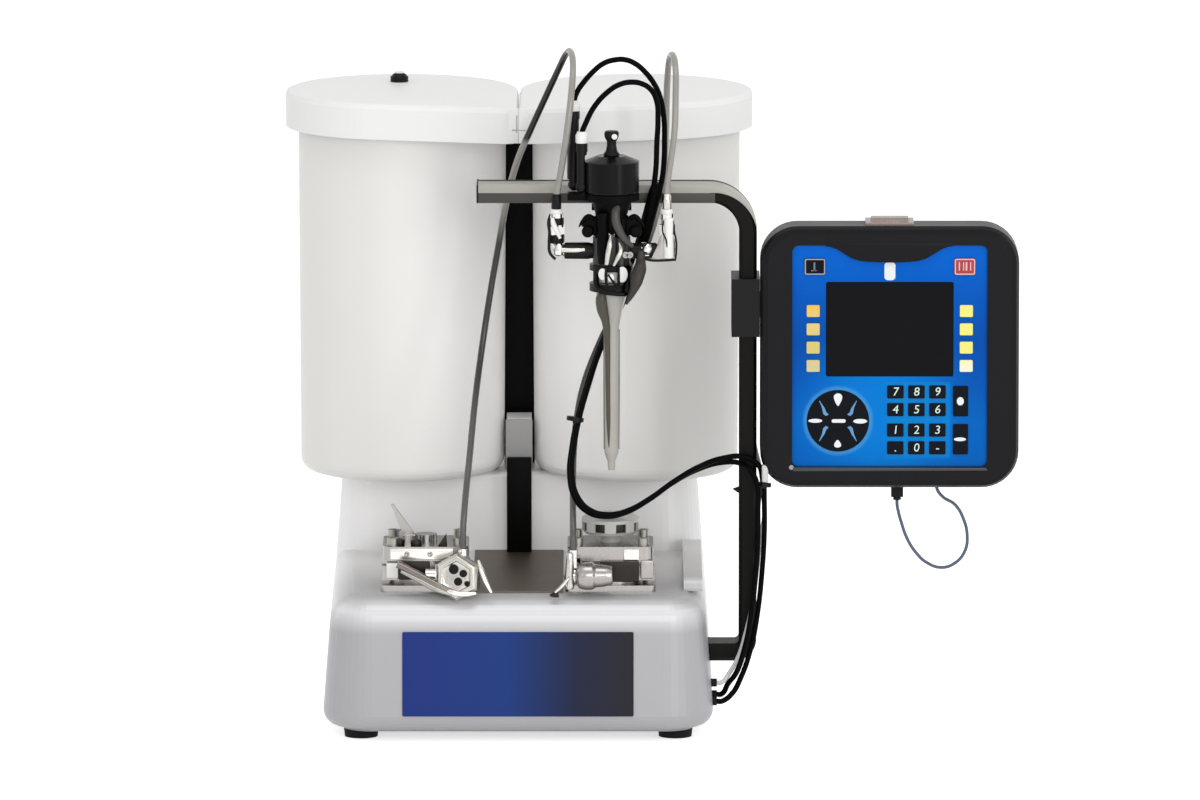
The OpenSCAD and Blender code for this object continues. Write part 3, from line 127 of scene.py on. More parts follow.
AIR_CLOSE = [
    (58, 30, 551), (58, 30, 555), (62, 30, 566), (70, 30, 581), (81, 31, 593), (92, 32, 600),
    (103, 34, 602), (113, 36, 600), (121, 39, 594), (126, 41, 583), (127, 42, 567), (126, 43, 545),
    (125, 43, 520), (122, 45, 500), (116, 50, 478), (108, 58, 449), (98, 66, 417), (86, 66, 382),
    (72, 62, 349), (62, 57, 319), (54, 52, 291), (49, 48, 265), (47, 46, 240), (52, 44, 219),
    (64, 45, 206), (80, 46, 202), (97, 48, 205), (118, 51, 216), (141, 54, 232), (164, 56, 244),
    (186, 57, 250), (203, 56, 249), (213, 46, 242), (218, 46, 228), (218, 46, 208), (218, 46, 180),
    (216, 46, 148), (212, 45, 111), (206, 44, 80), (199, 44, 59), (191, 54, 46), (185, 57, 36),
    (181, 57, 36),
]
DISPLAY_CABLE = [
    (203, 118, 378), (203, 118, 374), (204, 121, 364), (206, 124, 340), (209, 126, 308),
    (212, 124, 280), (216, 114, 256), (221, 98, 236), (223, 80, 218), (224, 66, 200),
    (220, 62, 176), (217, 52, 148), (213, 54, 118), (207, 54, 92), (200, 54, 70), (192, 52, 56),
    (185, 50, 48), (181, 50, 48),
]
LOOP_CORD = [
    (345, 68, 214), (345, 68, 210), (346, 68, 204), (349, 67, 193), (354, 66, 179), (362, 65, 166),
    (373, 64, 156), (386, 64, 152), (398, 65, 156), (407, 66, 167), (409, 67, 181), (406, 68, 195),
    (398, 69, 209), (386, 69, 217), (381, 69, 225), (381, 69, 228),
]


def round_curve(name, points, diameter, steps, roundness, taper=None):
    """A round curve through machine points; taper gives each point's share of the diameter."""
    data = bpy.data.curves.new(name, "CURVE")
    data.dimensions = "3D"
    data.resolution_u = steps
    data.bevel_depth = mm(diameter) / 2
    data.bevel_resolution = roundness
    data.use_fill_caps = True
    line = data.splines.new("BEZIER")
    line.bezier_points.add(len(points) - 1)
    for index, (point, place) in enumerate(zip(line.bezier_points, points)):
        point.co = at(*place)
        point.handle_left_type = "AUTO"
        point.handle_right_type = "AUTO"
        point.radius = taper[index] if taper else 1.0
    piece = bpy.data.objects.new(name, data)
    bpy.context.scene.collection.objects.link(piece)
    return piece


def make_cord(name, node, route, diameter, material, body="base"):
    """A cord along its route, which stands for its CAD node."""
    piece = round_curve(name, route, diameter, steps=6, roundness=4)
    piece.data.materials.append(material)
    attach(piece, body)
    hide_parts(node)


# Middles of the display's faceplate and of its navigation pad
FACE_MID_X = 337.5
FACE_MID_Z = 349.5
NAV_X = FACE_MID_X - 46.8
NAV_Z = FACE_MID_Z - 59.6


# Shader groups

def new_group(name, inputs, outputs):
    """An empty node group with its sockets, its input and its output nodes."""
    group = bpy.data.node_groups.new(name, "ShaderNodeTree")
    for label, kind, value in inputs:
        socket = group.interface.new_socket(label, in_out="INPUT", socket_type="NodeSocket" + kind)
        socket.default_value = value
    for label, kind in outputs:
        group.interface.new_socket(label, in_out="OUTPUT", socket_type="NodeSocket" + kind)
    return group, group.nodes.new("NodeGroupInput"), group.nodes.new("NodeGroupOutput")


def set_inputs(node, **values):
    """Sets a node's own sockets; an underscore in a name stands for a space."""
    for label, value in values.items():
        node.inputs[label.replace("_", " ")].default_value = value


def calc(tree, operation, a, b=None, c=None):
    """A Math node on sockets or numbers; returns its result socket."""
    node = tree.nodes.new("ShaderNodeMath")
    node.operation = operation
    for socket, value in zip(node.inputs, (a, b, c)):
        if value is None:
            continue
        if isinstance(value, (int, float)):
            socket.default_value = value
        else:
            tree.links.new(value, socket)
    return node.outputs[0]


def noise(tree, vector, scale, detail=3.0, rough=0.5):
    """A noise texture on a vector; returns its value socket."""
    node = tree.nodes.new("ShaderNodeTexNoise")
    set_inputs(node, Detail=detail, Roughness=rough)
    tree.links.new(vector, node.inputs["Vector"])
    if isinstance(scale, (int, float)):
        node.inputs["Scale"].default_value = scale
    else:
        tree.links.new(scale, node.inputs["Scale"])
    return node.outputs["Fac"]


def tinted(tree, color, factor):
    """A colour made lighter or darker by a factor near 1."""
    node = tree.nodes.new("ShaderNodeVectorMath")
    node.operation = "SCALE"
    tree.links.new(color, node.inputs[0])
    tree.links.new(factor, node.inputs["Scale"])
    return node.outputs[0]


def varied(group, field, amount, middle):
    """A value that drifts about its middle with a noise field, as far as the amount says."""
    centred = calc(group, "SUBTRACT", field, 0.5)
    return calc(group, "MULTIPLY_ADD", centred, amount, middle)


# How fine the smears on paint and the stains on metal are
SMEAR_SCALE = 38.0
STAIN_SCALE = 55.0


def make_finish_group():
    """Fine grain, broad colour drift and uneven gloss of a painted or moulded face."""
    group, source, result = new_group(
        "surface finish",
        [
            ("Color", "Color", (0.5, 0.5, 0.5, 1)), ("Drift", "Float", 0.05),
            ("Drift Scale", "Float", 9.0), ("Gloss", "Float", 0.4), ("Gloss Drift", "Float", 0.1),
            ("Grain Scale", "Float", 900.0),
        ],
        [("Color", "Color"), ("Roughness", "Float"), ("Height", "Float")],
    )
    spot = group.nodes.new("ShaderNodeTexCoord").outputs["Object"]
    broad = noise(group, spot, source.outputs["Drift Scale"], 4.0, 0.6)
    factor = varied(group, broad, source.outputs["Drift"], 1.0)
    group.links.new(tinted(group, source.outputs["Color"], factor), result.inputs["Color"])
    smears = noise(group, spot, SMEAR_SCALE, 5.0, 0.65)
    gloss = varied(group, smears, source.outputs["Gloss Drift"], source.outputs["Gloss"])
    group.links.new(gloss, result.inputs["Roughness"])
    group.links.new(noise(group, spot, source.outputs["Grain Scale"], 2.0), result.inputs["Height"])
    return group


def make_brushed_group():
    """Fine parallel tool marks, drawn out along one direction by the stretch."""
    group, source, result = new_group(
        "tool marks",
        [
            ("Color", "Color", (0.6, 0.6, 0.6, 1)), ("Contrast", "Float", 0.25),
            ("Stretch", "Vector", (600.0, 600.0, 12.0)), ("Gloss", "Float", 0.3),
            ("Gloss Drift", "Float", 0.25),
        ],
        [("Color", "Color"), ("Roughness", "Float"), ("Height", "Float")],
    )
    spot = group.nodes.new("ShaderNodeTexCoord").outputs["Object"]
    stretched = group.nodes.new("ShaderNodeVectorMath")
    stretched.operation = "MULTIPLY"
    group.links.new(spot, stretched.inputs[0])
    group.links.new(source.outputs["Stretch"], stretched.inputs[1])
    marks = noise(group, stretched.outputs[0], 1.0, 4.0, 0.7)
    factor = varied(group, marks, source.outputs["Contrast"], 1.0)
    group.links.new(tinted(group, source.outputs["Color"], factor), result.inputs["Color"])
    stains = noise(group, spot, STAIN_SCALE, 3.0, 0.6)
    gloss = varied(group, stains, source.outputs["Gloss Drift"], source.outputs["Gloss"])
    group.links.new(gloss, result.inputs["Roughness"])
    group.links.new(marks, result.inputs["Height"])
    return group


FINISH = make_finish_group()
TOOL_MARKS = make_brushed_group()


# Materials

def new_material(name):
    """A material with a Principled shader; returns the material, its tree and the shader."""
    material = bpy.data.materials.new(name)
    material.use_nodes = True
    tree = material.node_tree
    return material, tree, tree.nodes["Principled BSDF"]


# How deep grain and tool marks look, in metres, and how rough a clear coat is
GRAIN_DEPTH = 0.0003
MARK_DEPTH = 0.0002
COAT_ROUGHNESS = 0.12


def grouped(name, node_group, color, gloss, gloss_drift, relief, depth):
    """A material whose colour, gloss and relief come through a node group."""
    material, tree, shader = new_material(name)
    group = tree.nodes.new("ShaderNodeGroup")
    group.node_tree = node_group
    set_inputs(group, Color=shade(*color), Gloss=gloss, Gloss_Drift=gloss_drift)
    tree.links.new(group.outputs["Color"], shader.inputs["Base Color"])
    tree.links.new(group.outputs["Roughness"], shader.inputs["Roughness"])
    bump = tree.nodes.new("ShaderNodeBump")
    set_inputs(bump, Strength=relief, Distance=depth)
    tree.links.new(group.outputs["Height"], bump.inputs["Height"])
    tree.links.new(bump.outputs["Normal"], shader.inputs["Normal"])
    return material, tree, shader, group


def open_finish(
    name, color, gloss=0.4, drift=0.06, gloss_drift=0.12, grain=900.0, relief=0.12, metallic=0.0,
    coat=0.0, specular=0.5,
):
    """A painted or moulded material, with its tree, its shader and its group for further links."""
    material, tree, shader, group = grouped(
        name, FINISH, color, gloss, gloss_drift, relief, GRAIN_DEPTH,
    )
    set_inputs(group, Drift=drift, Grain_Scale=grain)
    set_inputs(shader, Metallic=metallic, Specular_IOR_Level=specular)
    set_inputs(shader, Coat_Weight=coat, Coat_Roughness=COAT_ROUGHNESS)
    return material, tree, shader, group


def finished(name, color, **settings):
    """A painted or moulded material of one colour."""
    return open_finish(name, color, **settings)[0]


def metal(
    name, color, gloss=0.28, contrast=0.3, stretch=(600.0, 600.0, 12.0), gloss_drift=0.2,
    relief=0.15,
):
    """A machined or ground metal with tool marks."""
    material, _, shader, group = grouped(
        name, TOOL_MARKS, color, gloss, gloss_drift, relief, MARK_DEPTH,
    )
    set_inputs(group, Contrast=contrast, Stretch=stretch)
    set_inputs(shader, Metallic=1.0)
    return material


def ramp(tree, value, low, high, stops):
    """A colour ramp over a value between two limits; stops are (share, display colour)."""
    spread = tree.nodes.new("ShaderNodeMapRange")
    set_inputs(spread, From_Min=low, From_Max=high)
    tree.links.new(value, spread.inputs["Value"])
    node = tree.nodes.new("ShaderNodeValToRGB")
    elements = node.color_ramp.elements
    while len(elements) < len(stops):
        elements.new(0.5)
    for element, (share, color) in zip(elements, stops):
        element.position = share
        element.color = shade(*color)
    tree.links.new(spread.outputs["Result"], node.inputs["Fac"])
    return node.outputs["Color"]


def soft_limit(tree, value, outside, inside):
    """1 where a value is past its inner limit, falling to 0 at the outer one."""
    spread = tree.nodes.new("ShaderNodeMapRange")
    spread.interpolation_type = "SMOOTHSTEP"
    set_inputs(spread, From_Min=outside, From_Max=inside)
    tree.links.new(value, spread.inputs["Value"])
    return spread.outputs["Result"]


def blended(tree, factor, below, above):
    """A colour socket covered by a display colour or another socket as far as the factor says."""
    node = tree.nodes.new("ShaderNodeMix")
    node.data_type = "RGBA"
    tree.links.new(factor, node.inputs["Factor"])
    tree.links.new(below, node.inputs["A"])
    if isinstance(above, tuple):
        node.inputs["B"].default_value = shade(*above)
    else:
        tree.links.new(above, node.inputs["B"])
    return node.outputs["Result"]


def away(tree, axes, x, z):
    """How far a spot is from a machine point, seen from the front."""
    middle = at(x, 0, z)
    across = calc(tree, "POWER", calc(tree, "SUBTRACT", axes["X"], middle.x), 2)
    up = calc(tree, "POWER", calc(tree, "SUBTRACT", axes["Z"], middle.z), 2)
    return calc(tree, "SQRT", calc(tree, "ADD", across, up))


def aside(tree, axis, middle):
    """How far a spot is from the middle of one axis."""
    return calc(tree, "ABSOLUTE", calc(tree, "SUBTRACT", axis, middle))


def object_axes(tree):
    """The object coordinate's X, Y and Z sockets."""
    split = tree.nodes.new("ShaderNodeSeparateXYZ")
    tree.links.new(tree.nodes.new("ShaderNodeTexCoord").outputs["Object"], split.inputs[0])
    return split.outputs


GREY_PAINT = finished("grey panel paint", (172, 172, 174), gloss=0.45, drift=0.05)
BLACK_PAINT = finished("satin black paint", (5, 4, 4), drift=0.1, specular=0.05)
MAST_PAINT = finished("mast paint", (18, 17, 16), gloss=0.42, drift=0.1, specular=0.07)
MOTOR_BLACK = finished("motor paint", (30, 30, 33), specular=0.25)
BAND_GREY = finished("saddle cover paint", (156, 153, 153), specular=0.25)
# Painted light: the bar's front, lighter than the same black paint on the post
BAR_FRONT_LIGHT = finished("bar front painted light", (70, 67, 63), gloss=0.34, drift=0.12, specular=0.2)
# Painted highlight: the bar's upper face, where the light from above falls
BAR_HIGHLIGHT = finished(
    "bar painted highlight", (166, 163, 156), gloss=0.34, drift=0.1, grain=2000.0, relief=0.05,
    specular=0.3,
)
ANODISED = finished(
    "black anodised", (6, 5, 6), gloss=0.24, drift=0.05, gloss_drift=0.03, relief=0.01,
    specular=0.12,
)
VALVE_DARK = finished(
    "blackened valve steel", (44, 43, 42), gloss=0.3, drift=0.5, gloss_drift=0.3, relief=0.2,
    specular=0.35,
)
# Painted highlight: the lit side of a black yoke arm
ARM_HIGHLIGHT_GREY = finished("yoke arm painted highlight", (66, 64, 63), gloss=0.3, drift=0.25, specular=0.3)
FINGER_GREY = finished("release finger", (58, 54, 50), drift=0.8, specular=0.2)

BLACK_RUBBER = finished(
    "black rubber", (22, 22, 23), gloss=0.72, grain=1400.0, relief=0.3, specular=0.15,
)
# Black moulding; also black pieces that are painted shade and painted dark reflections
BLACK_MOULDING_AND_SHADE = finished("black moulding, painted shade and dark reflections", (14, 13, 14), drift=0.12, grain=1300.0, specular=0.15)
BEZEL_BLACK = finished(
    "display bezel moulding", (24, 24, 26), gloss=0.34, drift=0.14, grain=1500.0, relief=0.1,
    specular=0.08,
)
# Painted reflection: the bezel's lower lip, lighter than the black bezel
BEZEL_LIP_REFLECTION = finished(
    "bezel lip painted reflection", (62, 67, 75), gloss=0.3, drift=0.5, grain=1500.0, relief=0.1,
    specular=0.2,
)
# Painted highlight: a chip of light on the bezel's corner
CORNER_HIGHLIGHT_GREY = finished("bezel corner highlight", (150, 152, 154), gloss=0.3, specular=0.3)
CAP_GREY = finished("shutoff cap", (184, 182, 178), specular=0.3)
LID_WHITE, _, lid_shader, _ = open_finish(
    "lid moulding", (236, 236, 235), gloss=0.42, drift=0.015, grain=700.0, relief=0.06,
    specular=0.25,
)
set_inputs(lid_shader, Subsurface_Weight=0.15, Subsurface_Radius=(0.01, 0.01, 0.009))
TICK_GREY = finished("seam tick", (170, 170, 168), gloss=0.45, specular=0.2)
# White fittings; also white pieces that are painted light
WHITE_FITTING_AND_LIGHT = finished("fitting white and painted light", (232, 231, 228), gloss=0.34, drift=0.04, specular=0.3)
MIXER_GREY = finished(
    "mixer moulding", (168, 165, 158), gloss=0.22, drift=0.25, grain=300.0, relief=0.1, coat=0.2,
    specular=0.3,
)
MIXER_WHITE = finished("mixer element", (208, 206, 196))
# Olive of the bell's rib, also painted dark edges down the mixer tube
OLIVE_RIB_AND_EDGE_SHADE = finished("olive mixer rib and painted dark edges", (74, 71, 63), gloss=0.3, drift=0.3, specular=0.25)
TUBE_BLACK = finished("black tube", (6, 6, 7), specular=0.03)
CABLE_GREY = finished("grey cable", (208, 207, 205), gloss=0.45, specular=0.3)
CORD_BLUE = finished("blue-grey cord", (84, 96, 116), specular=0.25)

SCREEN_BLACK = finished(
    "screen glass", (14, 14, 18), gloss=0.1, drift=0.2, gloss_drift=0.05, relief=0.0, specular=0.05,
)
KEY_BLACK = finished("black key film", (8, 11, 18), gloss=0.35, specular=0.07)
KEY_RED = finished("red key film", (164, 52, 56), gloss=0.35, specular=0.3)
PRINT_WHITE = finished("white print", (226, 232, 234), specular=0.2)
PRINT_PALE = finished("pale key print", (206, 230, 220), drift=0.3, specular=0.2)
PRINT_BLUE = finished("pale blue print", (96, 150, 196), drift=0.3, specular=0.2)
FRAME_GREY = finished("grey key frame", (150, 156, 166), specular=0.2)
FRAME_PINK = finished("pink key frame", (222, 176, 180), specular=0.2)
MARK_GREY = finished("grey key mark", (118, 120, 124), specular=0.2)

# The deck plate's dark brown is painted shade of the deck between the pumps, on a metal that
# reflects
DECK_STEEL = metal(
    "dark deck plate", (105, 96, 86), gloss=0.48, contrast=0.2, stretch=(500.0, 6.0, 6.0),
    gloss_drift=0.08, relief=0.04,
)
DRIVE_ALUMINIUM = metal("machined aluminium", (170, 172, 176), gloss=0.35, contrast=0.25)
GROUND_STEEL = metal(
    "ground steel", (180, 182, 184), gloss=0.18, contrast=0.15, stretch=(40.0, 900.0, 40.0),
)
# Machined stainless; also a lighter rail that is a painted highlight
STAINLESS_AND_HIGHLIGHT = metal("machined stainless", (158, 154, 151), gloss=0.26, stretch=(900.0, 25.0, 60.0))
# Bright steel; also bright sheets that are painted highlights on the pump heads
BRIGHT_STEEL_AND_HIGHLIGHT = metal(
    "bright steel and painted pump highlight", (222, 220, 214), gloss=0.2, contrast=0.2, stretch=(900.0, 25.0, 60.0),
)
# Dark steel for painted shade: recess blocks, pocket pads and dark pieces about the left lever
SHADOW_STEEL = metal("painted shade steel", (48, 45, 43), gloss=0.3, contrast=0.4)
DARK_HOOK = metal(
    "hook steel", (128, 118, 113), gloss=0.25, contrast=0.35, stretch=(20.0, 900.0, 900.0),
)
CHROME = metal(
    "polished chrome", (205, 204, 200), gloss=0.09, contrast=0.06, stretch=(120.0, 120.0, 120.0),
    gloss_drift=0.06, relief=0.03,
)
TARNISHED = metal(
    "tarnished steel", (122, 116, 110), gloss=0.3, contrast=0.5, stretch=(120.0, 120.0, 120.0),
)
# Satin steel; also bright slivers and a tube that are painted highlights
SATIN_STEEL_AND_HIGHLIGHT = metal(
    "satin fitting steel and painted highlights", (186, 183, 176), gloss=0.22, contrast=0.5, stretch=(160.0, 160.0, 160.0),
)
NICKEL = metal(
    "nickel plate", (184, 180, 172), gloss=0.16, contrast=0.1, stretch=(200.0, 200.0, 200.0),
)
SCREW_STEEL = metal(
    "screw steel", (148, 145, 140), gloss=0.34, contrast=0.2, stretch=(300.0, 300.0, 300.0),
)


def make_housing_paint():
    """Silver paint with painted light: painted shade on the front below the brow and on the deck, a
    painted highlight along the brow, and a lighter tone up the tower and at the back.
    """
    material, tree, _, group = open_finish(
        "silver housing paint", (204, 203, 205), gloss=0.36, drift=0.04, gloss_drift=0.06,
        grain=2600.0, relief=0.05, metallic=0.15, specular=0.25,
    )
    axes = object_axes(tree)
    # Painted shade on the front and the deck, a painted highlight on the brow, lighter up the tower
    front_painted_shade_and_highlight = ramp(tree, axes["Z"], mm(100), mm(170), [
        (0.0, (170, 169, 172)), (0.28, (218, 217, 219)), (0.46, (172, 171, 172)),
        (0.62, (200, 199, 199)), (1.0, (234, 233, 233)),
    ])
    before = soft_limit(tree, axes["Y"], at(0, 300, 0).y, at(0, 20, 0).y)
    behind = calc(tree, "SUBTRACT", 1.0, before)
    tree.links.new(blended(tree, behind, front_painted_shade_and_highlight, (235, 234, 234)), group.inputs["Color"])
    return material


def make_tank_moulding():
    """White moulding of the tanks, with painted light that makes them a tone lighter where they
    face each other, over the shade between them.
    """
    material, tree, shader, group = open_finish(
        "tank moulding", (233, 232, 229), drift=0.03, grain=500.0, relief=0.05, specular=0.25,
    )
    set_inputs(shader, Subsurface_Weight=0.35, Subsurface_Radius=(0.03, 0.03, 0.028))
    from_middle = aside(tree, object_axes(tree)["X"], at(0, 0, 0).x)
    # Painted light: lighter towards the middle, against the shade between the tanks
    painted_middle_light = ramp(tree, from_middle, mm(30), mm(140), [
        (0.0, (252, 251, 249)), (1.0, (230, 229, 226)),
    ])
    tree.links.new(painted_middle_light, group.inputs["Color"])
    return material


def make_fluid_tube(name):
    """Translucent tube, dark below the bar and pale above it."""
    material, tree, shader, group = open_finish(
        name, (146, 144, 138), gloss=0.2, drift=0.25, grain=200.0, relief=0.05, coat=0.2,
        specular=0.3,
    )
    axes = object_axes(tree)
    dark_below_bar = ramp(tree, axes["Z"], mm(170), mm(480), [
        (0.0, (84, 82, 79)), (0.38, (76, 74, 71)), (0.5, (48, 47, 45)), (0.88, (44, 43, 42)),
        (1.0, (146, 144, 138)),
    ])
    tree.links.new(dark_below_bar, group.inputs["Color"])
    return material, tree, shader, group, axes


def make_left_tube():
    """Fluid tube whose rising leg is sleeved in black above the bar."""
    material, tree, shader, group, axes = make_fluid_tube("left tube")
    raised = calc(tree, "SUBTRACT", 1.0, soft_limit(tree, axes["Z"], mm(540), mm(533)))
    backwards = calc(tree, "MULTIPLY", axes["Y"], -1.0)
    back = soft_limit(tree, backwards, -at(0, 70, 0).y, -at(0, 84, 0).y)
    sleeve = calc(tree, "MULTIPLY", raised, back)
    sleeved = blended(tree, sleeve, group.outputs["Color"], (16, 15, 15))
    tree.links.new(sleeved, shader.inputs["Base Color"])
    return material


def make_label_film():
    """Front label: deep blue that runs to near black on the right, under a clear film."""
    material, tree, _, group = open_finish(
        "front label film", (28, 60, 140), gloss=0.24, drift=0.1, specular=0.16,
    )
    blend = ramp(tree, object_axes(tree)["X"], at(-105, 0, 0).x, at(105, 0, 0).x, [
        (0.0, (26, 48, 122)), (0.45, (22, 54, 122)), (0.75, (28, 34, 60)), (1.0, (34, 33, 38)),
    ])
    tree.links.new(blend, group.inputs["Color"])
    return material


def make_face_film():
    """Faceplate: royal blue, brighter over the keys and round the pad."""
    material, tree, _, group = open_finish(
        "faceplate film", (4, 88, 180), gloss=0.34, drift=0.08, specular=0.06,
    )
    axes = object_axes(tree)
    blend = ramp(tree, axes["Z"], mm(235), mm(450), [
        (0.0, (0, 92, 178)), (0.25, (0, 96, 184)), (0.42, (0, 82, 172)), (0.6, (0, 76, 164)),
        (0.78, (0, 84, 180)), (1.0, (0, 98, 204)),
    ])
    halo = soft_limit(tree, away(tree, axes, NAV_X, NAV_Z), mm(33.5), mm(29))
    ground = at(FACE_MID_X + 26, 0, FACE_MID_Z - 59)
    columns = soft_limit(tree, aside(tree, axes["X"], ground.x), mm(31), mm(27))
    rows = soft_limit(tree, aside(tree, axes["Z"], ground.z), mm(37), mm(32))
    keys = calc(tree, "MULTIPLY", columns, rows)
    glow = soft_limit(tree, away(tree, axes, FACE_MID_X - 8, FACE_MID_Z - 48), mm(92), mm(20))
    lit = blended(tree, calc(tree, "MULTIPLY", glow, 0.85), blend, (0, 122, 208))
    haloed = blended(tree, calc(tree, "MULTIPLY", halo, 0.4), lit, (96, 176, 222))
    grounded = blended(tree, calc(tree, "MULTIPLY", keys, 0.7), haloed, (8, 128, 202))
    tree.links.new(grounded, group.inputs["Color"])
    return material


def make_key_film():
    """Pads of the membrane: dark number keys below, pale soft keys beside the screen."""
    material, tree, _, group = open_finish(
        "key film", (232, 192, 112), gloss=0.34, drift=0.05, specular=0.08,
    )
    axes = object_axes(tree)
    left_keys = ramp(tree, axes["Z"], mm(330), mm(400), [
        (0.0, (206, 196, 162)), (0.4, (212, 194, 112)), (0.72, (220, 198, 128)),
        (1.0, (226, 188, 66)),
    ])
    right_keys = ramp(tree, axes["Z"], mm(330), mm(400), [
        (0.0, (238, 238, 234)), (0.35, (236, 228, 120)), (0.7, (238, 230, 122)),
        (1.0, (236, 228, 132)),
    ])
    on_right = calc(tree, "GREATER_THAN", axes["X"], at(FACE_MID_X, 0, 0).x)
    low = calc(tree, "LESS_THAN", axes["Z"], mm(325))
    soft_keys = blended(tree, on_right, left_keys, right_keys)
    tree.links.new(blended(tree, low, soft_keys, (5, 9, 22)), group.inputs["Color"])
    return material


HOUSING_PAINT = make_housing_paint()
TANK_WHITE = make_tank_moulding()
TUBE_LEFT = make_left_tube()
TUBE_RIGHT = make_fluid_tube("right tube")[0]
LABEL_FILM = make_label_film()
FACE_FILM = make_face_film()
KEY_FILM = make_key_film()

# Which finish each CAD node has
NODE_FINISHES = [
    (HOUSING_PAINT, "base_housing"),
    (GREY_PAINT, "bottom_plate rear_cover"),
    (BLACK_RUBBER, "rubber_feet cable_glands"),
    (LABEL_FILM, "front_panel"),
    (DECK_STEEL, "deck_plate"),
    (SCREW_STEEL, "socket_screws"),
    (BLACK_MOULDING_AND_SHADE, "power_inlet power_switch lid_plug display_clamp air_fittings"),
    (NICKEL, "air_inlet"),
    (DRIVE_ALUMINIUM, "drive_frame crosshead power_supply"),
    (MOTOR_BLACK, "drive_motor air_manifold"),
    (GROUND_STEEL, "ball_screw piston_rods metering_tubes valve_piston"),
    (STAINLESS_AND_HIGHLIGHT, "feed_pipes pump_block_left pump_block_right shutoff_lever_left"),
    (CHROME, "outlet_elbows inlet_fittings"),
    (CAP_GREY, "shutoff_lever_right"),
    (TANK_WHITE, "tank_left tank_right"),
    (LID_WHITE, "lid_left lid_right"),
    (BLACK_PAINT, "tank_column column_foot valve_bracket valve_yoke"),
    (MAST_PAINT, "mast"),
    (BEZEL_BLACK, "display_shell display_bezel"),
    (FACE_FILM, "faceplate"),
    (SCREEN_BLACK, "screen"),
    (DARK_HOOK, "display_hook"),
    (KEY_BLACK, "start_key nav_pad"),
    (KEY_RED, "stop_key"),
    (KEY_FILM, "keypad"),
    (ANODISED, "air_cylinder adjuster_knob mixer_nut"),
    (VALVE_DARK, "valve_body"),
    (MIXER_GREY, "mixer_tube"),
    (MIXER_WHITE, "mixer_element"),
]
for node_material, node_names in NODE_FINISHES:
    for node_name in node_names.split():
        NODES[node_name].data.materials.clear()
        NODES[node_name].data.materials.append(node_material)

# Edges sharper than these stay sharp, on the CAD's pieces and on the scene's own
CAD_SMOOTH_ANGLE = math.radians(32)
SMOOTH_ANGLE = math.radians(35)


def pick(piece):
    """Selects only this piece and makes it the active one."""
    bpy.ops.object.select_all(action="DESELECT")
    piece.select_set(True)
    bpy.context.view_layer.objects.active = piece


for node_object in NODES.values():
    pick(node_object)
    bpy.ops.object.shade_smooth_by_angle(angle=CAD_SMOOTH_ANGLE)

make_cord("left_fluid_tube", "fluid_tube_left", FLUID_LEFT, 6, TUBE_LEFT)
make_cord("right_fluid_tube", "fluid_tube_right", FLUID_RIGHT, 6, TUBE_RIGHT)
make_cord("opening_air_line", "air_line_open", AIR_OPEN, 5, TUBE_BLACK)
make_cord("closing_air_line", "air_line_close", AIR_CLOSE, 5, TUBE_BLACK)
make_cord(
    "display_lead", "display_cable", DISPLAY_CABLE, 4, CABLE_GREY,
)
make_cord("loop_cord", "display_loop", LOOP_CORD, 3, CORD_BLUE, body="display")


# Modelling helpers

# Points nearer than this, in metres, become one
WELD = 0.00001
UP = (0, 0, 1)
FORWARD = (0, -1, 0)
BACK = (0, 1, 0)
RIGHT = (1, 0, 0)
LEFT = (-1, 0, 0)


def settle(piece):
    """Puts a piece's place, turn and size into its mesh, so that its object is at the origin."""
    pick(piece)
    bpy.ops.object.transform_apply(location=True, rotation=True, scale=True)
    return piece


def soften(piece, width, segments=3, angle=30):
    """Rounds a piece's sharp edges and smooths its shading."""
    pick(piece)
    edge = piece.modifiers.new("edge", "BEVEL")
    edge.width = mm(width)
    edge.segments = segments
    edge.limit_method = "ANGLE"
    edge.angle_limit = math.radians(angle)
    bpy.ops.object.modifier_apply(modifier=edge.name)
    bpy.ops.object.shade_smooth_by_angle(angle=SMOOTH_ANGLE)
    return piece


def fit(piece, name, material, body="base"):
    """Names a finished piece, and gives it its material and its body."""
    piece.name = name
    piece.data.name = name
    piece.data.materials.clear()
    piece.data.materials.append(material)
    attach(piece, body)
    return piece


def meshed(piece, flatten=False):
    """A curve or text piece as a mesh without doubled points or, if flattened, needless ones."""
    pick(piece)
    bpy.ops.object.convert(target="MESH")
    piece = settle(bpy.context.object)
    bpy.ops.object.mode_set(mode="EDIT")
    bpy.ops.mesh.select_all(action="SELECT")
    bpy.ops.mesh.remove_doubles(threshold=WELD)
    if flatten:
        bpy.ops.mesh.dissolve_limited(angle_limit=math.radians(1))
    bpy.ops.mesh.normals_make_consistent(inside=False)
    bpy.ops.object.mode_set(mode="OBJECT")
    return piece


def block(low, high, edge=0.6):
    """A block between two corners, with rounded edges."""
    start, end = at(*low), at(*high)
    bpy.ops.mesh.primitive_cube_add(size=1, location=(start + end) / 2, scale=end - start)
    return soften(settle(bpy.context.object), edge)


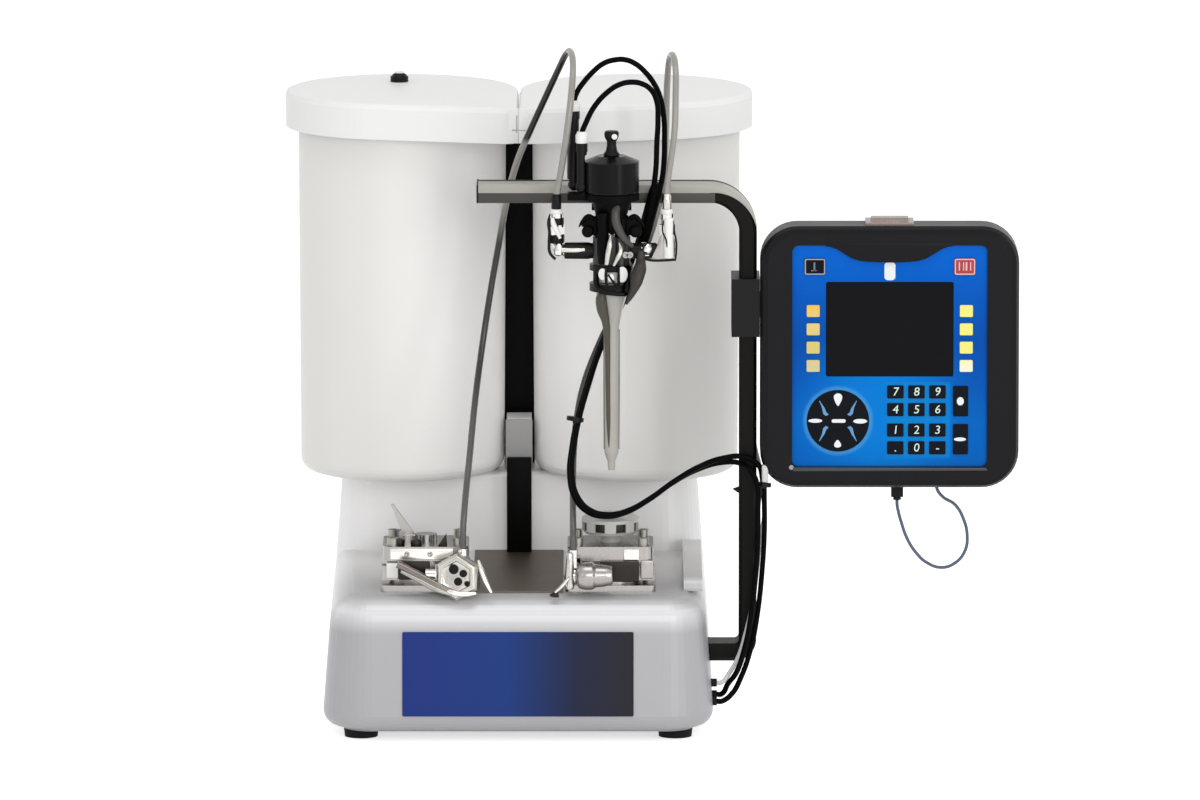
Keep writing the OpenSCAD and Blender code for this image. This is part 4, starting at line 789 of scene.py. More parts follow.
def turned(start, axis, rings, sides=28, edge=0.3):
    """A turned piece: a disc drawn out along its axis through (distance, diameter) rings."""
    axis = Vector(axis).normalized()
    origin = at(*start)
    distance, diameter = rings[0]
    bpy.ops.mesh.primitive_circle_add(
        vertices=sides, radius=mm(diameter) / 2, fill_type="NGON",
        location=origin + axis * mm(distance), rotation=axis.to_track_quat("Z", "Y").to_euler(),
    )
    piece = bpy.context.object
    bpy.ops.object.mode_set(mode="EDIT")
    for next_distance, next_diameter in rings[1:]:
        if next_distance != distance:
            step = axis * mm(next_distance - distance)
            bpy.ops.mesh.extrude_region_move(TRANSFORM_OT_translate={"value": step})
        else:
            bpy.ops.mesh.extrude_region_move()
        growth = next_diameter / diameter
        centre = origin + axis * mm(next_distance)
        bpy.ops.transform.resize(value=(growth, growth, growth), center_override=centre)
        distance, diameter = next_distance, next_diameter
    bpy.ops.mesh.select_all(action="SELECT")
    bpy.ops.mesh.normals_make_consistent(inside=False)
    bpy.ops.object.mode_set(mode="OBJECT")
    return soften(settle(piece), edge, segments=2)


def cut_plate(outlines, front, back, edge=0.0):
    """A flat plate that faces the front, cut to outlines of (x, z) points; later ones are holes."""
    data = bpy.data.curves.new("outline", "CURVE")
    data.dimensions = "2D"
    data.fill_mode = "BOTH"
    data.extrude = mm(back - front) / 2
    for outline in outlines:
        line = data.splines.new("POLY")
        line.points.add(len(outline) - 1)
        for point, (x, z) in zip(line.points, outline):
            point.co = (mm(x), mm(z), 0, 1)
        line.use_cyclic_u = True
    piece = bpy.data.objects.new("plate", data)
    bpy.context.scene.collection.objects.link(piece)
    piece.location = at(0, (front + back) / 2, 0)
    piece.rotation_euler = (math.radians(90), 0, 0)
    piece = meshed(piece, flatten=True)
    if edge:
        soften(piece, edge, segments=2)
    return piece


def bent_rod(points, diameter, taper=None):
    """A round rod through its points; taper gives each point's share of the diameter."""
    piece = meshed(round_curve("rod", points, diameter, steps=8, roundness=5, taper=taper))
    bpy.ops.object.shade_smooth_by_angle(angle=SMOOTH_ANGLE)
    return piece


def joined(pieces):
    """One piece out of several."""
    pick(pieces[0])
    for piece in pieces:
        piece.select_set(True)
    bpy.ops.object.join()
    return bpy.context.object


def rounded(x, z, width, height, radius, steps=5):
    """The outline of a rounded rectangle about a centre."""
    points = []
    for corner, (side, rise) in enumerate([(1, 1), (-1, 1), (-1, -1), (1, -1)]):
        for step in range(steps + 1):
            turn = math.radians(90 * corner + 90 * step / steps)
            points.append((
                x + side * (width / 2 - radius) + radius * math.cos(turn),
                z + rise * (height / 2 - radius) + radius * math.sin(turn),
            ))
    return points


def oval(x, z, width, height, steps=24, point_up=0.0):
    """An oval outline; point_up above 0 narrows its top, below 0 its bottom."""
    points = []
    for step in range(steps):
        turn = 2 * math.pi * step / steps
        rise = math.sin(turn)
        narrow = 1 - point_up * rise
        points.append((x + width / 2 * math.cos(turn) * narrow, z + height / 2 * rise))
    return points


# Display

# Depths of what faces the front: the faceplate, the membrane's pads and the keys
FACE_FRONT = 47
PAD_FRONT = 46.2
KEY_FRONT = 45.8
# Thickness of a print
PRINT = 0.25
# Middle of the first number key, the keys' pitches, and the gap under the second row
FIRST_KEY_X = FACE_MID_X + 5.3
FIRST_KEY_Z = FACE_MID_Z - 33
KEY_PITCH_X = 19.1
KEY_PITCH_Z = 16.3
ROW_GAP = 2.5
# The column of the two tall keys
TALL_KEY_X = 401.7
# The two power keys: their height, their distance from the middle, and their size
POWER_KEY_Z = 431.5
POWER_KEY_REACH = 68
POWER_KEY_W = 18.6
POWER_KEY_H = 14.6
# Middle of the display's back in height
BACK_MID_Z = 341


def printed(outlines, front=KEY_FRONT):
    """A thin print cut to outlines, whose face lies at that depth."""
    return cut_plate(outlines, front - PRINT, front)


def print_digits():
    """Plain figures on the number keys, three columns by four rows."""
    figures = []
    for row, line in enumerate(["789", "456", "123", ".0-"]):
        for column, figure in enumerate(line):
            x = FIRST_KEY_X + column * KEY_PITCH_X
            z = FIRST_KEY_Z - row * KEY_PITCH_Z - (ROW_GAP if row > 1 else 0)
            place = at(x, PAD_FRONT - PRINT / 2, z)
            bpy.ops.object.text_add(location=place, rotation=(math.radians(90), 0, 0))
            text = bpy.context.object
            text.data.body = figure
            text.data.size = mm(11)
            text.data.extrude = mm(PRINT) / 2
            text.data.align_x = "CENTER"
            text.data.align_y = "CENTER"
            text.data.shear = 0.12
            text.data.resolution_u = 3
            pick(text)
            bpy.ops.object.convert(target="MESH")
            figures.append(settle(bpy.context.object))
    return joined(figures)


def make_display_front():
    """Key figures, the small white badge, and the power keys' frames and marks."""
    fit(print_digits(), "key_figures", PRINT_PALE, "display")
    dot = printed([oval(TALL_KEY_X + 0.1, 308, 6.4, 7.6)], PAD_FRONT)
    dash = printed([oval(TALL_KEY_X - 0.1, 273, 11, 3.4)], PAD_FRONT)
    fit(joined([dot, dash]), "tall_key_marks", PRINT_WHITE, "display")
    outline = rounded(FACE_MID_X, 427.3, 10, 16.6, 3.2)
    badge = cut_plate([outline], FACE_FRONT - 0.5, FACE_FRONT, edge=0.2)
    fit(badge, "blank_badge", PRINT_WHITE, "display")
    z = POWER_KEY_Z
    start_x, stop_x = FACE_MID_X - POWER_KEY_REACH, FACE_MID_X + POWER_KEY_REACH
    for x, body, slot, material in (
        (start_x, "start", "key_black", FRAME_GREY), (stop_x, "stop", "key_red", FRAME_PINK),
    ):
        ring = printed([
            rounded(x, z, POWER_KEY_W, POWER_KEY_H, 1.6),
            rounded(x, z, POWER_KEY_W - 2.2, POWER_KEY_H - 2.2, 1.0),
        ])
        fit(ring, body + "_key_frame", material, body)
    bar = printed([rounded(start_x - 0.5, z, 1.5, 8, 0.5)])
    foot = printed([rounded(start_x - 1, z - 3.6, 5, 0.9, 0.4)])
    fit(joined([bar, foot]), "start_key_mark", MARK_GREY, "start")
    marks = [
        printed([rounded(stop_x + shift, z + 0.4, wide, 8, 0.4)])
        for shift, wide in ((-5, 1.2), (-1.2, 1.0), (1.4, 1.6), (5.2, 1.1))
    ]
    fit(joined(marks), "stop_key_marks", FRAME_PINK, "stop")


def make_nav_marks():
    """White marks at the pad's four sides and its middle, and a curved stroke in each groove."""
    x, z = NAV_X, NAV_Z
    marks = [printed([outline]) for outline in (
        oval(x, z + 19.6, 6.8, 11.6, point_up=-0.55),
        oval(x - 0.3, z - 20.9, 5.8, 7, point_up=0.5),
        oval(x - 20.6, z + 0.2, 12.6, 3.6),
        oval(x + 20.2, z - 0.2, 12.6, 4.2),
    )]
    middle = rounded(x + 0.6, z, 12.6, 3.2, 1.4)
    marks.append(cut_plate([middle], KEY_FRONT - PRINT, KEY_FRONT + 0.55))
    fit(joined(marks), "nav_marks", PRINT_WHITE, "nav")
    stroke = [
        (8.4, 6.0), (10.6, 8.0), (12.2, 12.0), (16.8, 18.8),
        (17.2, 18.4), (14.6, 12.4), (13.4, 6.6), (11.0, 4.6),
    ]
    strokes = []
    for side in (-1, 1):
        for rise in (-1, 1):
            points = [(x + side * a, z + rise * b) for a, b in stroke]
            strokes.append(cut_plate([points], KEY_FRONT - PRINT / 2, KEY_FRONT + 0.5))
    fit(joined(strokes), "nav_strokes", PRINT_BLUE, "nav")


def make_bezel_brow():
    """The bezel's brow, whose lower edge dips in a smooth curve over the faceplate."""
    dip = [
        (279, 450.4), (284, 449.6), (289, 447.8), (294, 444.9), (299, 441.6), (304, 438.9),
        (310, 437.1), (318, 436.2), (328, 435.7), (338, 435.5), (348, 435.7), (357, 436.2),
        (364, 437.2), (370, 439), (375, 441.7), (380, 445), (385, 448), (390, 449.8), (395, 450.6),
    ]
    brow = cut_plate([dip + [(395, 454), (279, 454)]], 43.6, 46.9, edge=0.9)
    fit(brow, "bezel_brow", BEZEL_BLACK, "display")


def make_bezel_lip():
    """A raised lip along the bezel's lower edge, lighter than the bezel as a painted reflection,
    and a small chip of light on its corner, a painted highlight as a grey stud.
    """
    lip = cut_plate([[(250, 244), (427, 244.6), (425, 247.2), (250, 247.6)]], 43.4, 44.2, edge=0.3)
    fit(lip, "bezel_lower_lip", BEZEL_LIP_REFLECTION, "display")
    corner = turned((248.4, 44.3, 247.4), FORWARD, [(0, 5), (0.6, 3.8)], sides=20, edge=0.2)
    fit(corner, "bezel_corner_highlight", CORNER_HIGHLIGHT_GREY, "display")


def make_display_back():
    """Recessed back plate of the display with its ribs and screws."""
    x, z = FACE_MID_X, BACK_MID_Z
    plate = cut_plate([rounded(x, z, 186, 186, 12)], 94.5, 97.4, edge=0.8)
    fit(plate, "display_back_plate", BEZEL_BLACK, "display")
    ribs = [
        cut_plate([rounded(x, z + rise, 96, 5, 2.4)], 96.6, 98.6, edge=0.6)
        for rise in (-24, -12, 0, 12, 24)
    ]
    fit(joined(ribs), "display_back_ribs", BEZEL_BLACK, "display")
    rings = [(0, 8.4), (1.8, 8.4), (2.4, 7.2), (2.4, 3.8), (1.2, 3.4)]
    screws = [
        turned((x + side * 82, 97, z + rise * 82), BACK, rings)
        for side in (-1, 1) for rise in (-1, 1)
    ]
    fit(joined(screws), "display_back_screws", TARNISHED, "display")


def make_clamp_screws():
    """Two cap screws at the back of the display's clamp."""
    rings = [(0, 9), (4, 9), (4.8, 7.8), (4.8, 4.6), (2, 4.4)]
    screws = [turned((206, 122.2, z), BACK, rings) for z in (378, 407)]
    fit(joined(screws), "display_clamp_screws", TARNISHED)


def make_socket_pins():
    """Three blades in the mains socket."""
    pins = [
        block((x - 1, 421.6, z - 2.2), (x + 1, 430.5, z + 2.2), edge=0.3)
        for x, z in ((-102.5, 62), (-95.5, 65.6), (-88.5, 62))
    ]
    fit(joined(pins), "socket_pins", NICKEL)


make_display_front()
make_display_back()
make_clamp_screws()
make_socket_pins()
make_nav_marks()
make_bezel_brow()
make_bezel_lip()


# Dispense valve

# The valve's axis
VALVE_X = 85
VALVE_Y = 34
# The two inlets: distance from the valve's middle and height of their bores
INLET_REACH = 50
INLET_Z = 448
# Diameter of the air lines' collars, and radius of the mixer's nut
COLLAR_D = 11.4
NUT_R = 20


def make_air_collars():
    """White release collars where the air lines leave their black fittings."""
    for name, start, height in (
        ("opening_air_collar", (51, 44, 574.5), 9.5), ("closing_air_collar", (58, 30, 547), 10.5),
    ):
        collar = turned(start, UP, [
            (0, 10.8), (1.2, COLLAR_D), (height - 3, COLLAR_D), (height - 2.4, 9.8), (height, 8.4),
        ], sides=32)
        fit(collar, name, WHITE_FITTING_AND_LIGHT)
    shoulder = turned((51, 44, 512), UP, [(0, 12.6), (26, 12.6), (34, 9.4)], sides=8, edge=0.6)
    fit(shoulder, "air_fitting_shoulder", BLACK_MOULDING_AND_SHADE)


def make_tube_fittings():
    """Sleeves, collars and seals where the two fluid tubes meet the valve's inlets."""
    for side, x, sleeve_finish in (
        ("left", VALVE_X - INLET_REACH, BLACK_MOULDING_AND_SHADE),
        ("right", VALVE_X + INLET_REACH, SATIN_STEEL_AND_HIGHLIGHT),
    ):
        sleeve = turned((x, VALVE_Y, 486), UP, [(0, 8.2), (1, 9.2), (11, 9), (14, 7.4)])
        fit(sleeve, side + "_tube_sleeve", sleeve_finish)
        collar = turned((x, VALVE_Y, 480.6), UP, [(0, 8), (0.6, 11), (4.6, 11), (5.6, 9)])
        fit(collar, side + "_tube_collar", WHITE_FITTING_AND_LIGHT)
        seal = turned((x, VALVE_Y, 479.2), UP, [(0, 12.4), (1.6, 12.4)])
        fit(seal, side + "_collar_seal", BLACK_MOULDING_AND_SHADE)


def make_left_inlet():
    """The left inlet's chrome as painted reflections: a black union body, clip and jacket for its
    dark reflections, a white loop and a bright tube for its highlights, and a chrome knuckle.
    """
    x = VALVE_X - INLET_REACH
    # Painted dark reflection of the chrome union, as a black body
    body = turned((x, VALVE_Y, 455), UP, [
        (0, 13), (1.5, 14.6), (8, 14.6), (9, 11), (14, 11), (15, 13.6), (23, 13.6), (24, 11),
    ], sides=32, edge=0.4)
    fit(body, "left_union_dark_reflection", BLACK_MOULDING_AND_SHADE)
    # Painted highlight on the chrome union, as a white loop
    loop = bent_rod([
        (x - 3.6, 26.4, 479), (x - 2.6, 25.6, 473.6), (x + 0.6, 25.2, 467), (x + 3.4, 25.8, 460.4),
    ], 4.6, [0.7, 1.05, 1.05, 0.6])
    fit(loop, "left_union_highlight", WHITE_FITTING_AND_LIGHT)
    # Painted dark reflection along the union's left edge
    clip = bent_rod([
        (x - 5.8, 29, 482), (x - 7.2, 27.6, 475), (x - 6.2, 27, 466), (x - 6.6, 27, 456),
        (x - 5.8, 27.4, 447), (x - 1, 28, 441),
    ], 2.6, [0.6, 1.0, 1.1, 1.1, 1.1, 0.9])
    fit(clip, "left_union_dark_edge", BLACK_MOULDING_AND_SHADE)
    knuckle = turned((x + 1.6, 29, 444), (0.1, 0, 1), [
        (0, 5), (1.4, 8.6), (6, 9.6), (10, 8.2), (12, 4.6),
    ])
    fit(knuckle, "left_inlet_knuckle", CHROME)
    # Painted dark reflection round the inlet, and a bright tube before it as its painted highlight
    jacket = turned((x + 7, VALVE_Y, INLET_Z), RIGHT, [
        (0, 12.6), (1, 14.8), (22, 15.4), (24, 14), (27.5, 14),
    ], sides=36)
    fit(jacket, "left_inlet_dark_reflection", BLACK_MOULDING_AND_SHADE)
    window = bent_rod([
        (x + 5, 27, 449.6), (x + 12, 26.4, 449.4), (x + 20, 26.3, 449.6), (x + 25.6, 26.8, 450),
    ], 4.8, [1.1, 1.0, 1.0, 0.8])
    fit(window, "left_inlet_highlight", SATIN_STEEL_AND_HIGHLIGHT)


def make_right_inlet():
    """Pale union body of the right inlet with its bracket, black rods along its edges and a black
    jacket on the inlet as painted dark reflections, and a chrome elbow.
    """
    x = VALVE_X + INLET_REACH
    body = turned((x + 1.4, 30, 441.6), UP, [
        (0, 8), (1, 10), (20, 9.4), (22, 8.4), (30, 9.4), (37, 8.8),
    ], sides=32, edge=0.4)
    fit(body, "right_union_body", WHITE_FITTING_AND_LIGHT)
    outline = [
        (x + 8.6, 441), (x - 14.6, 441), (x - 13.6, 446), (x - 6, 460), (x - 3, 470), (x + 2, 470),
        (x + 8.2, 458),
    ]
    fit(cut_plate([outline], 33.4, 35.4, edge=0.4), "right_union_bracket", SATIN_STEEL_AND_HIGHLIGHT)
    outline = [(x - 2.6, 442), (x - 14, 442), (x - 7, 457), (x - 3, 466)]
    fit(cut_plate([outline], 26.4, 33.6, edge=0.4), "right_union_brace", STAINLESS_AND_HIGHLIGHT)
    # Painted dark reflections along the union's edges
    for name, size, points in (
        ("edge", 1.8, [
            (x + 5.6, 30, 476), (x + 6.8, 29, 466), (x + 8.6, 29, 457), (x + 8.6, 29, 448),
            (x + 8, 29, 441),
        ]),
        ("base", 2.4, [
            (x + 8.4, 29, 440.6), (x - 2, 28, 440), (x - 12, 27, 440), (x - 20, 25, 441.6),
        ]),
        ("fold", 1.5, [
            (x - 3.4, 27, 476), (x - 3.6, 26, 466), (x - 0.6, 25.4, 459), (x + 0.4, 26, 452),
        ]),
    ):
        fit(bent_rod(points, size), "right_union_dark_edge_" + name, BLACK_MOULDING_AND_SHADE)
    rings = [(0, 5), (2, 8.6), (6, 9), (9, 5)]
    elbow = turned((x - 19, 24, 447), (0.3, 0, 1), rings, sides=24)
    fit(elbow, "right_inlet_elbow", CHROME)
    # Painted dark reflection round the inlet's chrome
    rings = [(0, 12), (1, 14.4), (22, 14.4), (25, 14)]
    jacket = turned((x - 9, VALVE_Y, INLET_Z), LEFT, rings, sides=36)
    fit(jacket, "right_inlet_dark_reflection", BLACK_MOULDING_AND_SHADE)


def make_line_sleeve():
    """Black wrap that keeps the two air lines together beside the valve."""
    sleeve = bent_rod([
        (127, 47.5, 508), (124.6, 48, 499), (118.6, 51, 476), (111.6, 56, 452),
    ], 12.5, [0.8, 1.0, 1.0, 0.8])
    fit(sleeve, "air_line_wrap", TUBE_BLACK)


def make_yoke_dress():
    """What stands before the yoke: a grey curve painted as the highlight on a yoke arm, a leg, two
    bright slivers painted as the highlights of the valve's centre, and bolts.
    """
    # Painted highlight on a yoke arm, as a grey curved rod
    guard = bent_rod([
        (90, 21.5, 493), (88.6, 18.6, 486), (88.8, 17.4, 478), (91.4, 17, 470), (97.6, 17.6, 460),
        (104, 19.6, 454),
    ], 7.4, [1.0, 1.05, 1.1, 1.05, 0.85, 0.5])
    fit(guard, "yoke_arm_highlight", ARM_HIGHLIGHT_GREY)
    rings = [(0, 8.4), (2, 10.6), (40, 10.6), (47, 14)]
    leg = turned((77.4, 20.6, 437.5), (-0.01, 0.03, 1), rings, edge=0.6)
    fit(leg, "valve_front_leg", BLACK_PAINT)
    web = cut_plate([[(78, 492), (94, 492), (93, 471), (86, 463), (78, 468)]], 24, 27, edge=0.4)
    fit(web, "valve_leg_web", BLACK_PAINT)
    # Painted highlights of the valve's centre, as two bright slivers
    for name, points, taper in (
        ("long", [(84.2, 15.6, 465), (83.4, 14.6, 457), (82, 14.4, 449), (80.6, 14.8, 438)],
         [0.25, 1.0, 1.05, 0.8]),
        ("short", [(91.8, 15.8, 458), (93.2, 15, 451), (91, 14.6, 445), (87, 15, 437)],
         [0.3, 0.9, 1.0, 0.6]),
    ):
        sliver = bent_rod(points, 5.2, taper)
        fit(sliver, "valve_centre_highlight_" + name, SATIN_STEEL_AND_HIGHLIGHT)
    for x in (97.5, 101.5):
        rings = [(0, 6.4), (3, 6.4), (3.2, 5.2), (3.2, 2.6), (2.0, 2.4)]
        bolt = turned((x, 22.6, 446), FORWARD, rings, sides=24)
        fit(bolt, "valve_body_bolt_%d" % x, SCREW_STEEL)


def make_adjuster():
    """Adjuster with a slim neck and a round head that has a hole across it."""
    stem = turned((VALVE_X, VALVE_Y, 535.2), UP, [
        (-8.8, 11.2), (0, 11.2), (0.2, 15), (1.8, 14), (4, 10.6), (9, 8.6), (13, 8.8),
        (15.4, 11.4), (17, 13), (20.6, 13.4), (22.4, 11),
    ], sides=36, edge=0.4)
    rings = [(0, 5.4), (0.5, 4.8), (0.5, 3.6)]
    eye = turned((VALVE_X + 2.6, VALVE_Y - 6.9, 553), FORWARD, rings, sides=24)
    fit(stem, "adjuster_head", BLACK_MOULDING_AND_SHADE, "adjuster")
    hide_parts("adjuster_knob")
    fit(eye, "adjuster_eye", WHITE_FITTING_AND_LIGHT, "adjuster")


def make_wings():
    """Open hooks at both sides of the yoke, each with a round lobe below it."""
    for side, name in ((-1, "left"), (1, "right")):
        middle = VALVE_X + side * 20
        hook = bent_rod([
            (middle - side * 4, 30, 478), (middle + side * 1, 29, 480),
            (middle + side * 6.4, 28.6, 475), (middle + side * 9.6, 28.6, 470.4),
        ], 4.2, [1.0, 1.1, 0.9, 0.25])
        fit(hook, name + "_wing_hook", BLACK_PAINT)
        rings = [(0, 11), (3.4, 11), (4.6, 8)]
        lobe = turned((middle + side * 1.6, 29.6, 466.4), FORWARD, rings, sides=24, edge=0.8)
        fit(lobe, name + "_wing_lobe", BLACK_PAINT)


def make_nut_dress():
    """Struts before the nut's windows, white discs in them as painted light over the shaded collar
    behind, and its lower band.
    """
    struts = [
        bent_rod([(80.4, 14.4, 436), (79.8, 13.6, 428), (80.6, 14, 418)], 2.6),
        bent_rod([(82, 14, 429), (86, 13.6, 423), (91.4, 13.8, 416.6)], 2.4),
        bent_rod([(91.2, 14, 435), (91.4, 13.6, 426), (91.6, 14, 416.8)], 2.6),
        bent_rod([
            (71, 18.4, 428), (70.4, 19, 421), (73, 17.4, 415.6), (79, 15, 412.8), (88, 13.8, 411.4),
            (97.6, 16.6, 410.6), (103, 22, 409.6),
        ], 4.0, [0.8, 1.0, 1.05, 1.05, 1.0, 1.0, 0.8]),
    ]
    fit(joined(struts), "nut_struts", ANODISED, "nut")
    # Painted light: white discs in the nut's windows, where the collar behind lies in shade
    light_discs = []
    for shift, z, size, stretch in (
        (-8, 429, 8.4, 1.3), (-0.6, 426, 6, 1.2), (9.6, 428.6, 10.8, 1.35),
    ):
        out = Vector((shift, -math.sqrt(NUT_R ** 2 - shift ** 2), 0)) / NUT_R
        start = (VALVE_X + (NUT_R - 0.4) * out.x, VALVE_Y + (NUT_R - 0.4) * out.y, z)
        light_disc = turned(start, out, [(0, size), (1, size), (1.4, size - 1)], sides=32)
        bpy.ops.object.mode_set(mode="EDIT")
        bpy.ops.mesh.select_all(action="SELECT")
        bpy.ops.transform.resize(value=(1, 1, stretch), center_override=at(*start))
        bpy.ops.object.mode_set(mode="OBJECT")
        light_discs.append(light_disc)
    fit(joined(light_discs), "nut_window_light_discs", WHITE_FITTING_AND_LIGHT, "nut")


def make_mixer_dress():
    """Pale collar seen through the nut's windows, the bell's olive rib, whose thin tail down the
    tube's left side is a painted dark edge, and two thin olive lines down the tube's sides, painted
    dark edges of the translucent tube.
    """
    bpy.ops.mesh.primitive_cylinder_add(
        vertices=48, radius=mm(15.4), depth=mm(11), end_fill_type="NOTHING",
        location=at(VALVE_X, VALVE_Y, 426),
    )
    collar = settle(bpy.context.object)
    wall = collar.modifiers.new("wall", "SOLIDIFY")
    wall.thickness = mm(2.2)
    wall.offset = -1
    bpy.ops.object.modifier_apply(modifier=wall.name)
    fit(soften(collar, 0.4), "mixer_collar", WHITE_FITTING_AND_LIGHT, "mixer")
    # Olive rib of the bell; its thin tail down the tube's left side is a painted dark edge
    rib = bent_rod([
        (78, 21.6, 413), (75.8, 22.2, 406), (76.6, 23.4, 396), (79.6, 25.6, 384), (81, 27.4, 366),
        (81.6, 28, 330), (82.2, 28.4, 296), (83, 29, 268),
    ], 9.0, [0.6, 1.15, 1.15, 0.8, 0.6, 0.5, 0.45, 0.25])
    fit(rib, "mixer_left_rib", OLIVE_RIB_AND_EDGE_SHADE, "mixer")
    # Painted dark edges down both sides of the translucent tube
    dark_edges = []
    for side in (-1, 1):
        points = [
            (VALVE_X + side * reach, VALVE_Y, z)
            for reach, z in ((6.9, 376), (6.6, 320), (6.4, 266))
        ]
        dark_edges.append(bent_rod(points, 1.7, [0.6, 1.0, 0.9]))
    fit(joined(dark_edges), "mixer_dark_edges", OLIVE_RIB_AND_EDGE_SHADE, "mixer")


def make_release_finger():
    """Tapered finger that hangs from the valve beside the nut and crosses before its lower edge."""
    finger = bent_rod([
        (112, 26, 449), (111.4, 25, 441), (110.5, 18, 433), (107.4, 14.2, 422), (103.6, 12.8, 412),
        (98.2, 12, 402),
    ], 10.6, [0.7, 0.8, 1.15, 1.05, 0.6, 0.2])
    fit(finger, "valve_release_finger", FINGER_GREY)


make_air_collars()
make_tube_fittings()
make_left_inlet()
make_right_inlet()
make_line_sleeve()
make_yoke_dress()
make_adjuster()
make_wings()
make_nut_dress()
make_mixer_dress()
make_release_finger()


# Mast

# The middle lines of its post and its bar, the bar's end, and the radius of the bend
MAST_X = 209
BAR_Z = 496
BAR_END_X = -36
BEND_R = 36
# Where its front face is, and how deep it is
MAST_FRONT = 60
MAST_DEPTH = 40
# The painted highlight strip: its height on the bar, its lower edge there and how that rises round
# the bend
STRIP_TOP = 8.3
STRIP_LOW = 1.0
STRIP_RISE = 7.0
STRIP_STEPS = 14
STRIP_TURN = 84


def make_bar_painted_light():
    """The bar's upper face as a pale strip of painted highlight, narrowing round the bend, its
    front face as a dark grey strip of painted light, lighter than the black post, and its end cap.
    """
    turn_x, turn_z = MAST_X - BEND_R, BAR_Z - BEND_R
    outer, inner = [], []
    for step in range(STRIP_STEPS + 1):
        share = step / STRIP_STEPS
        turn = math.radians(90 - STRIP_TURN * step / STRIP_STEPS)
        for edge, reach in ((outer, STRIP_TOP), (inner, STRIP_LOW + STRIP_RISE * share)):
            radius = BEND_R + reach
            edge.append((turn_x + radius * math.cos(turn), turn_z + radius * math.sin(turn)))
    start, end = (BAR_END_X, BAR_Z + STRIP_TOP), (BAR_END_X, BAR_Z + STRIP_LOW)
    outline = [start] + outer + inner[::-1] + [end]
    strip = cut_plate([outline], MAST_FRONT - 0.8, MAST_FRONT + 26, edge=0.4)
    fit(strip, "bar_upper_highlight", BAR_HIGHLIGHT)
    lower = block(
        (BAR_END_X, MAST_FRONT - 0.5, BAR_Z - 8.2), (turn_x + 6, MAST_FRONT + 1, BAR_Z + 1.2),
        edge=0.5,
    )
    fit(lower, "bar_front_painted_light", BAR_FRONT_LIGHT)
    cap = block(
        (BAR_END_X - 1.6, MAST_FRONT - 0.4, BAR_Z - 8.4),
        (BAR_END_X + 0.4, MAST_FRONT + MAST_DEPTH + 0.4, BAR_Z + 8.4), edge=0.8,
    )
    fit(cap, "bar_end_cap", BLACK_MOULDING_AND_SHADE)


make_bar_painted_light()


# Pump heads

# Which way the large nut of the left pump looks
NUT_SLANT = (-0.18, -1, 0.12)


def make_left_union():
    """Large facetted outlet nut of the left pump, with black discs as painted shade in its spanner
    holes, and a bright tail.
    """
    nut = turned((-52.5, 31, 149.5), NUT_SLANT, [
        (0, 30), (3, 44), (17, 44), (21, 38), (21, 30), (19.6, 29), (19.6, 20),
    ], sides=6, edge=1.2)
    fit(nut, "left_outlet_nut", SATIN_STEEL_AND_HIGHLIGHT)
    # Painted shade: black discs for the dark holes in the nut's faces
    for x, z, size in ((-58, 158.6, 9), (-49.4, 155, 7), (-54, 147.6, 7.6), (-46, 146, 5)):
        face_y = 13.1 - 0.18 * (x + 56.2) + 0.12 * (z - 152)
        rings = [(0, size), (2.0, size), (2.2, size - 0.6)]
        hole = turned((x, face_y, z), NUT_SLANT, rings, sides=20)
        fit(hole, "left_nut_hole_shade_%d" % (-10 * x), BLACK_MOULDING_AND_SHADE)
    for side, points in (
        ("upper", [(-36, 18, 166), (-33.4, 15, 158), (-29.4, 12.6, 148), (-24, 10.6, 137.6)]),
        ("lower", [(-66, 12, 140), (-58, 8.6, 137.8), (-48, 7.4, 136.8), (-38, 8, 137.4)]),
    ):
        tail = bent_rod(points, 5.2, [0.5, 1.0, 0.95, 0.5])
        fit(tail, "left_outlet_tail_" + side, BRIGHT_STEEL_AND_HIGHLIGHT)
    ferrule = turned((-50, 30, 160), UP, [(0, 10), (6, 10), (8, 7.6), (15, 7)])
    fit(ferrule, "left_tube_ferrule", CHROME)


def make_right_union():
    """Smooth outlet nut of the right pump beside an upright pale fitting."""
    nut = turned((53, 24, 150.5), (1, 0, 0.02), [
        (0, 14), (2, 22), (8, 25), (15, 25), (17, 21), (24, 20), (33, 17),
    ], sides=44, edge=1.2)
    fit(nut, "right_outlet_nut", STAINLESS_AND_HIGHLIGHT)
    rings = [(0, 8), (3, 9.4), (20, 8), (26, 7), (33, 6)]
    upright = turned((46.6, 24, 139), (0.02, 0, 1), rings)
    fit(upright, "right_tube_ferrule", SATIN_STEEL_AND_HIGHLIGHT)
    foot = turned((37, 15, 135.4), (-1, 0, -0.12), [(0, 6), (5, 4.4), (8, 2)], sides=16)
    fit(foot, "right_outlet_foot", SHADOW_STEEL)
    stay = bent_rod([(46, 16, 150), (40, 14, 143), (33.6, 12, 137.4)], 3.4, [0.9, 1.0, 0.7])
    fit(stay, "right_outlet_stay", SATIN_STEEL_AND_HIGHLIGHT)


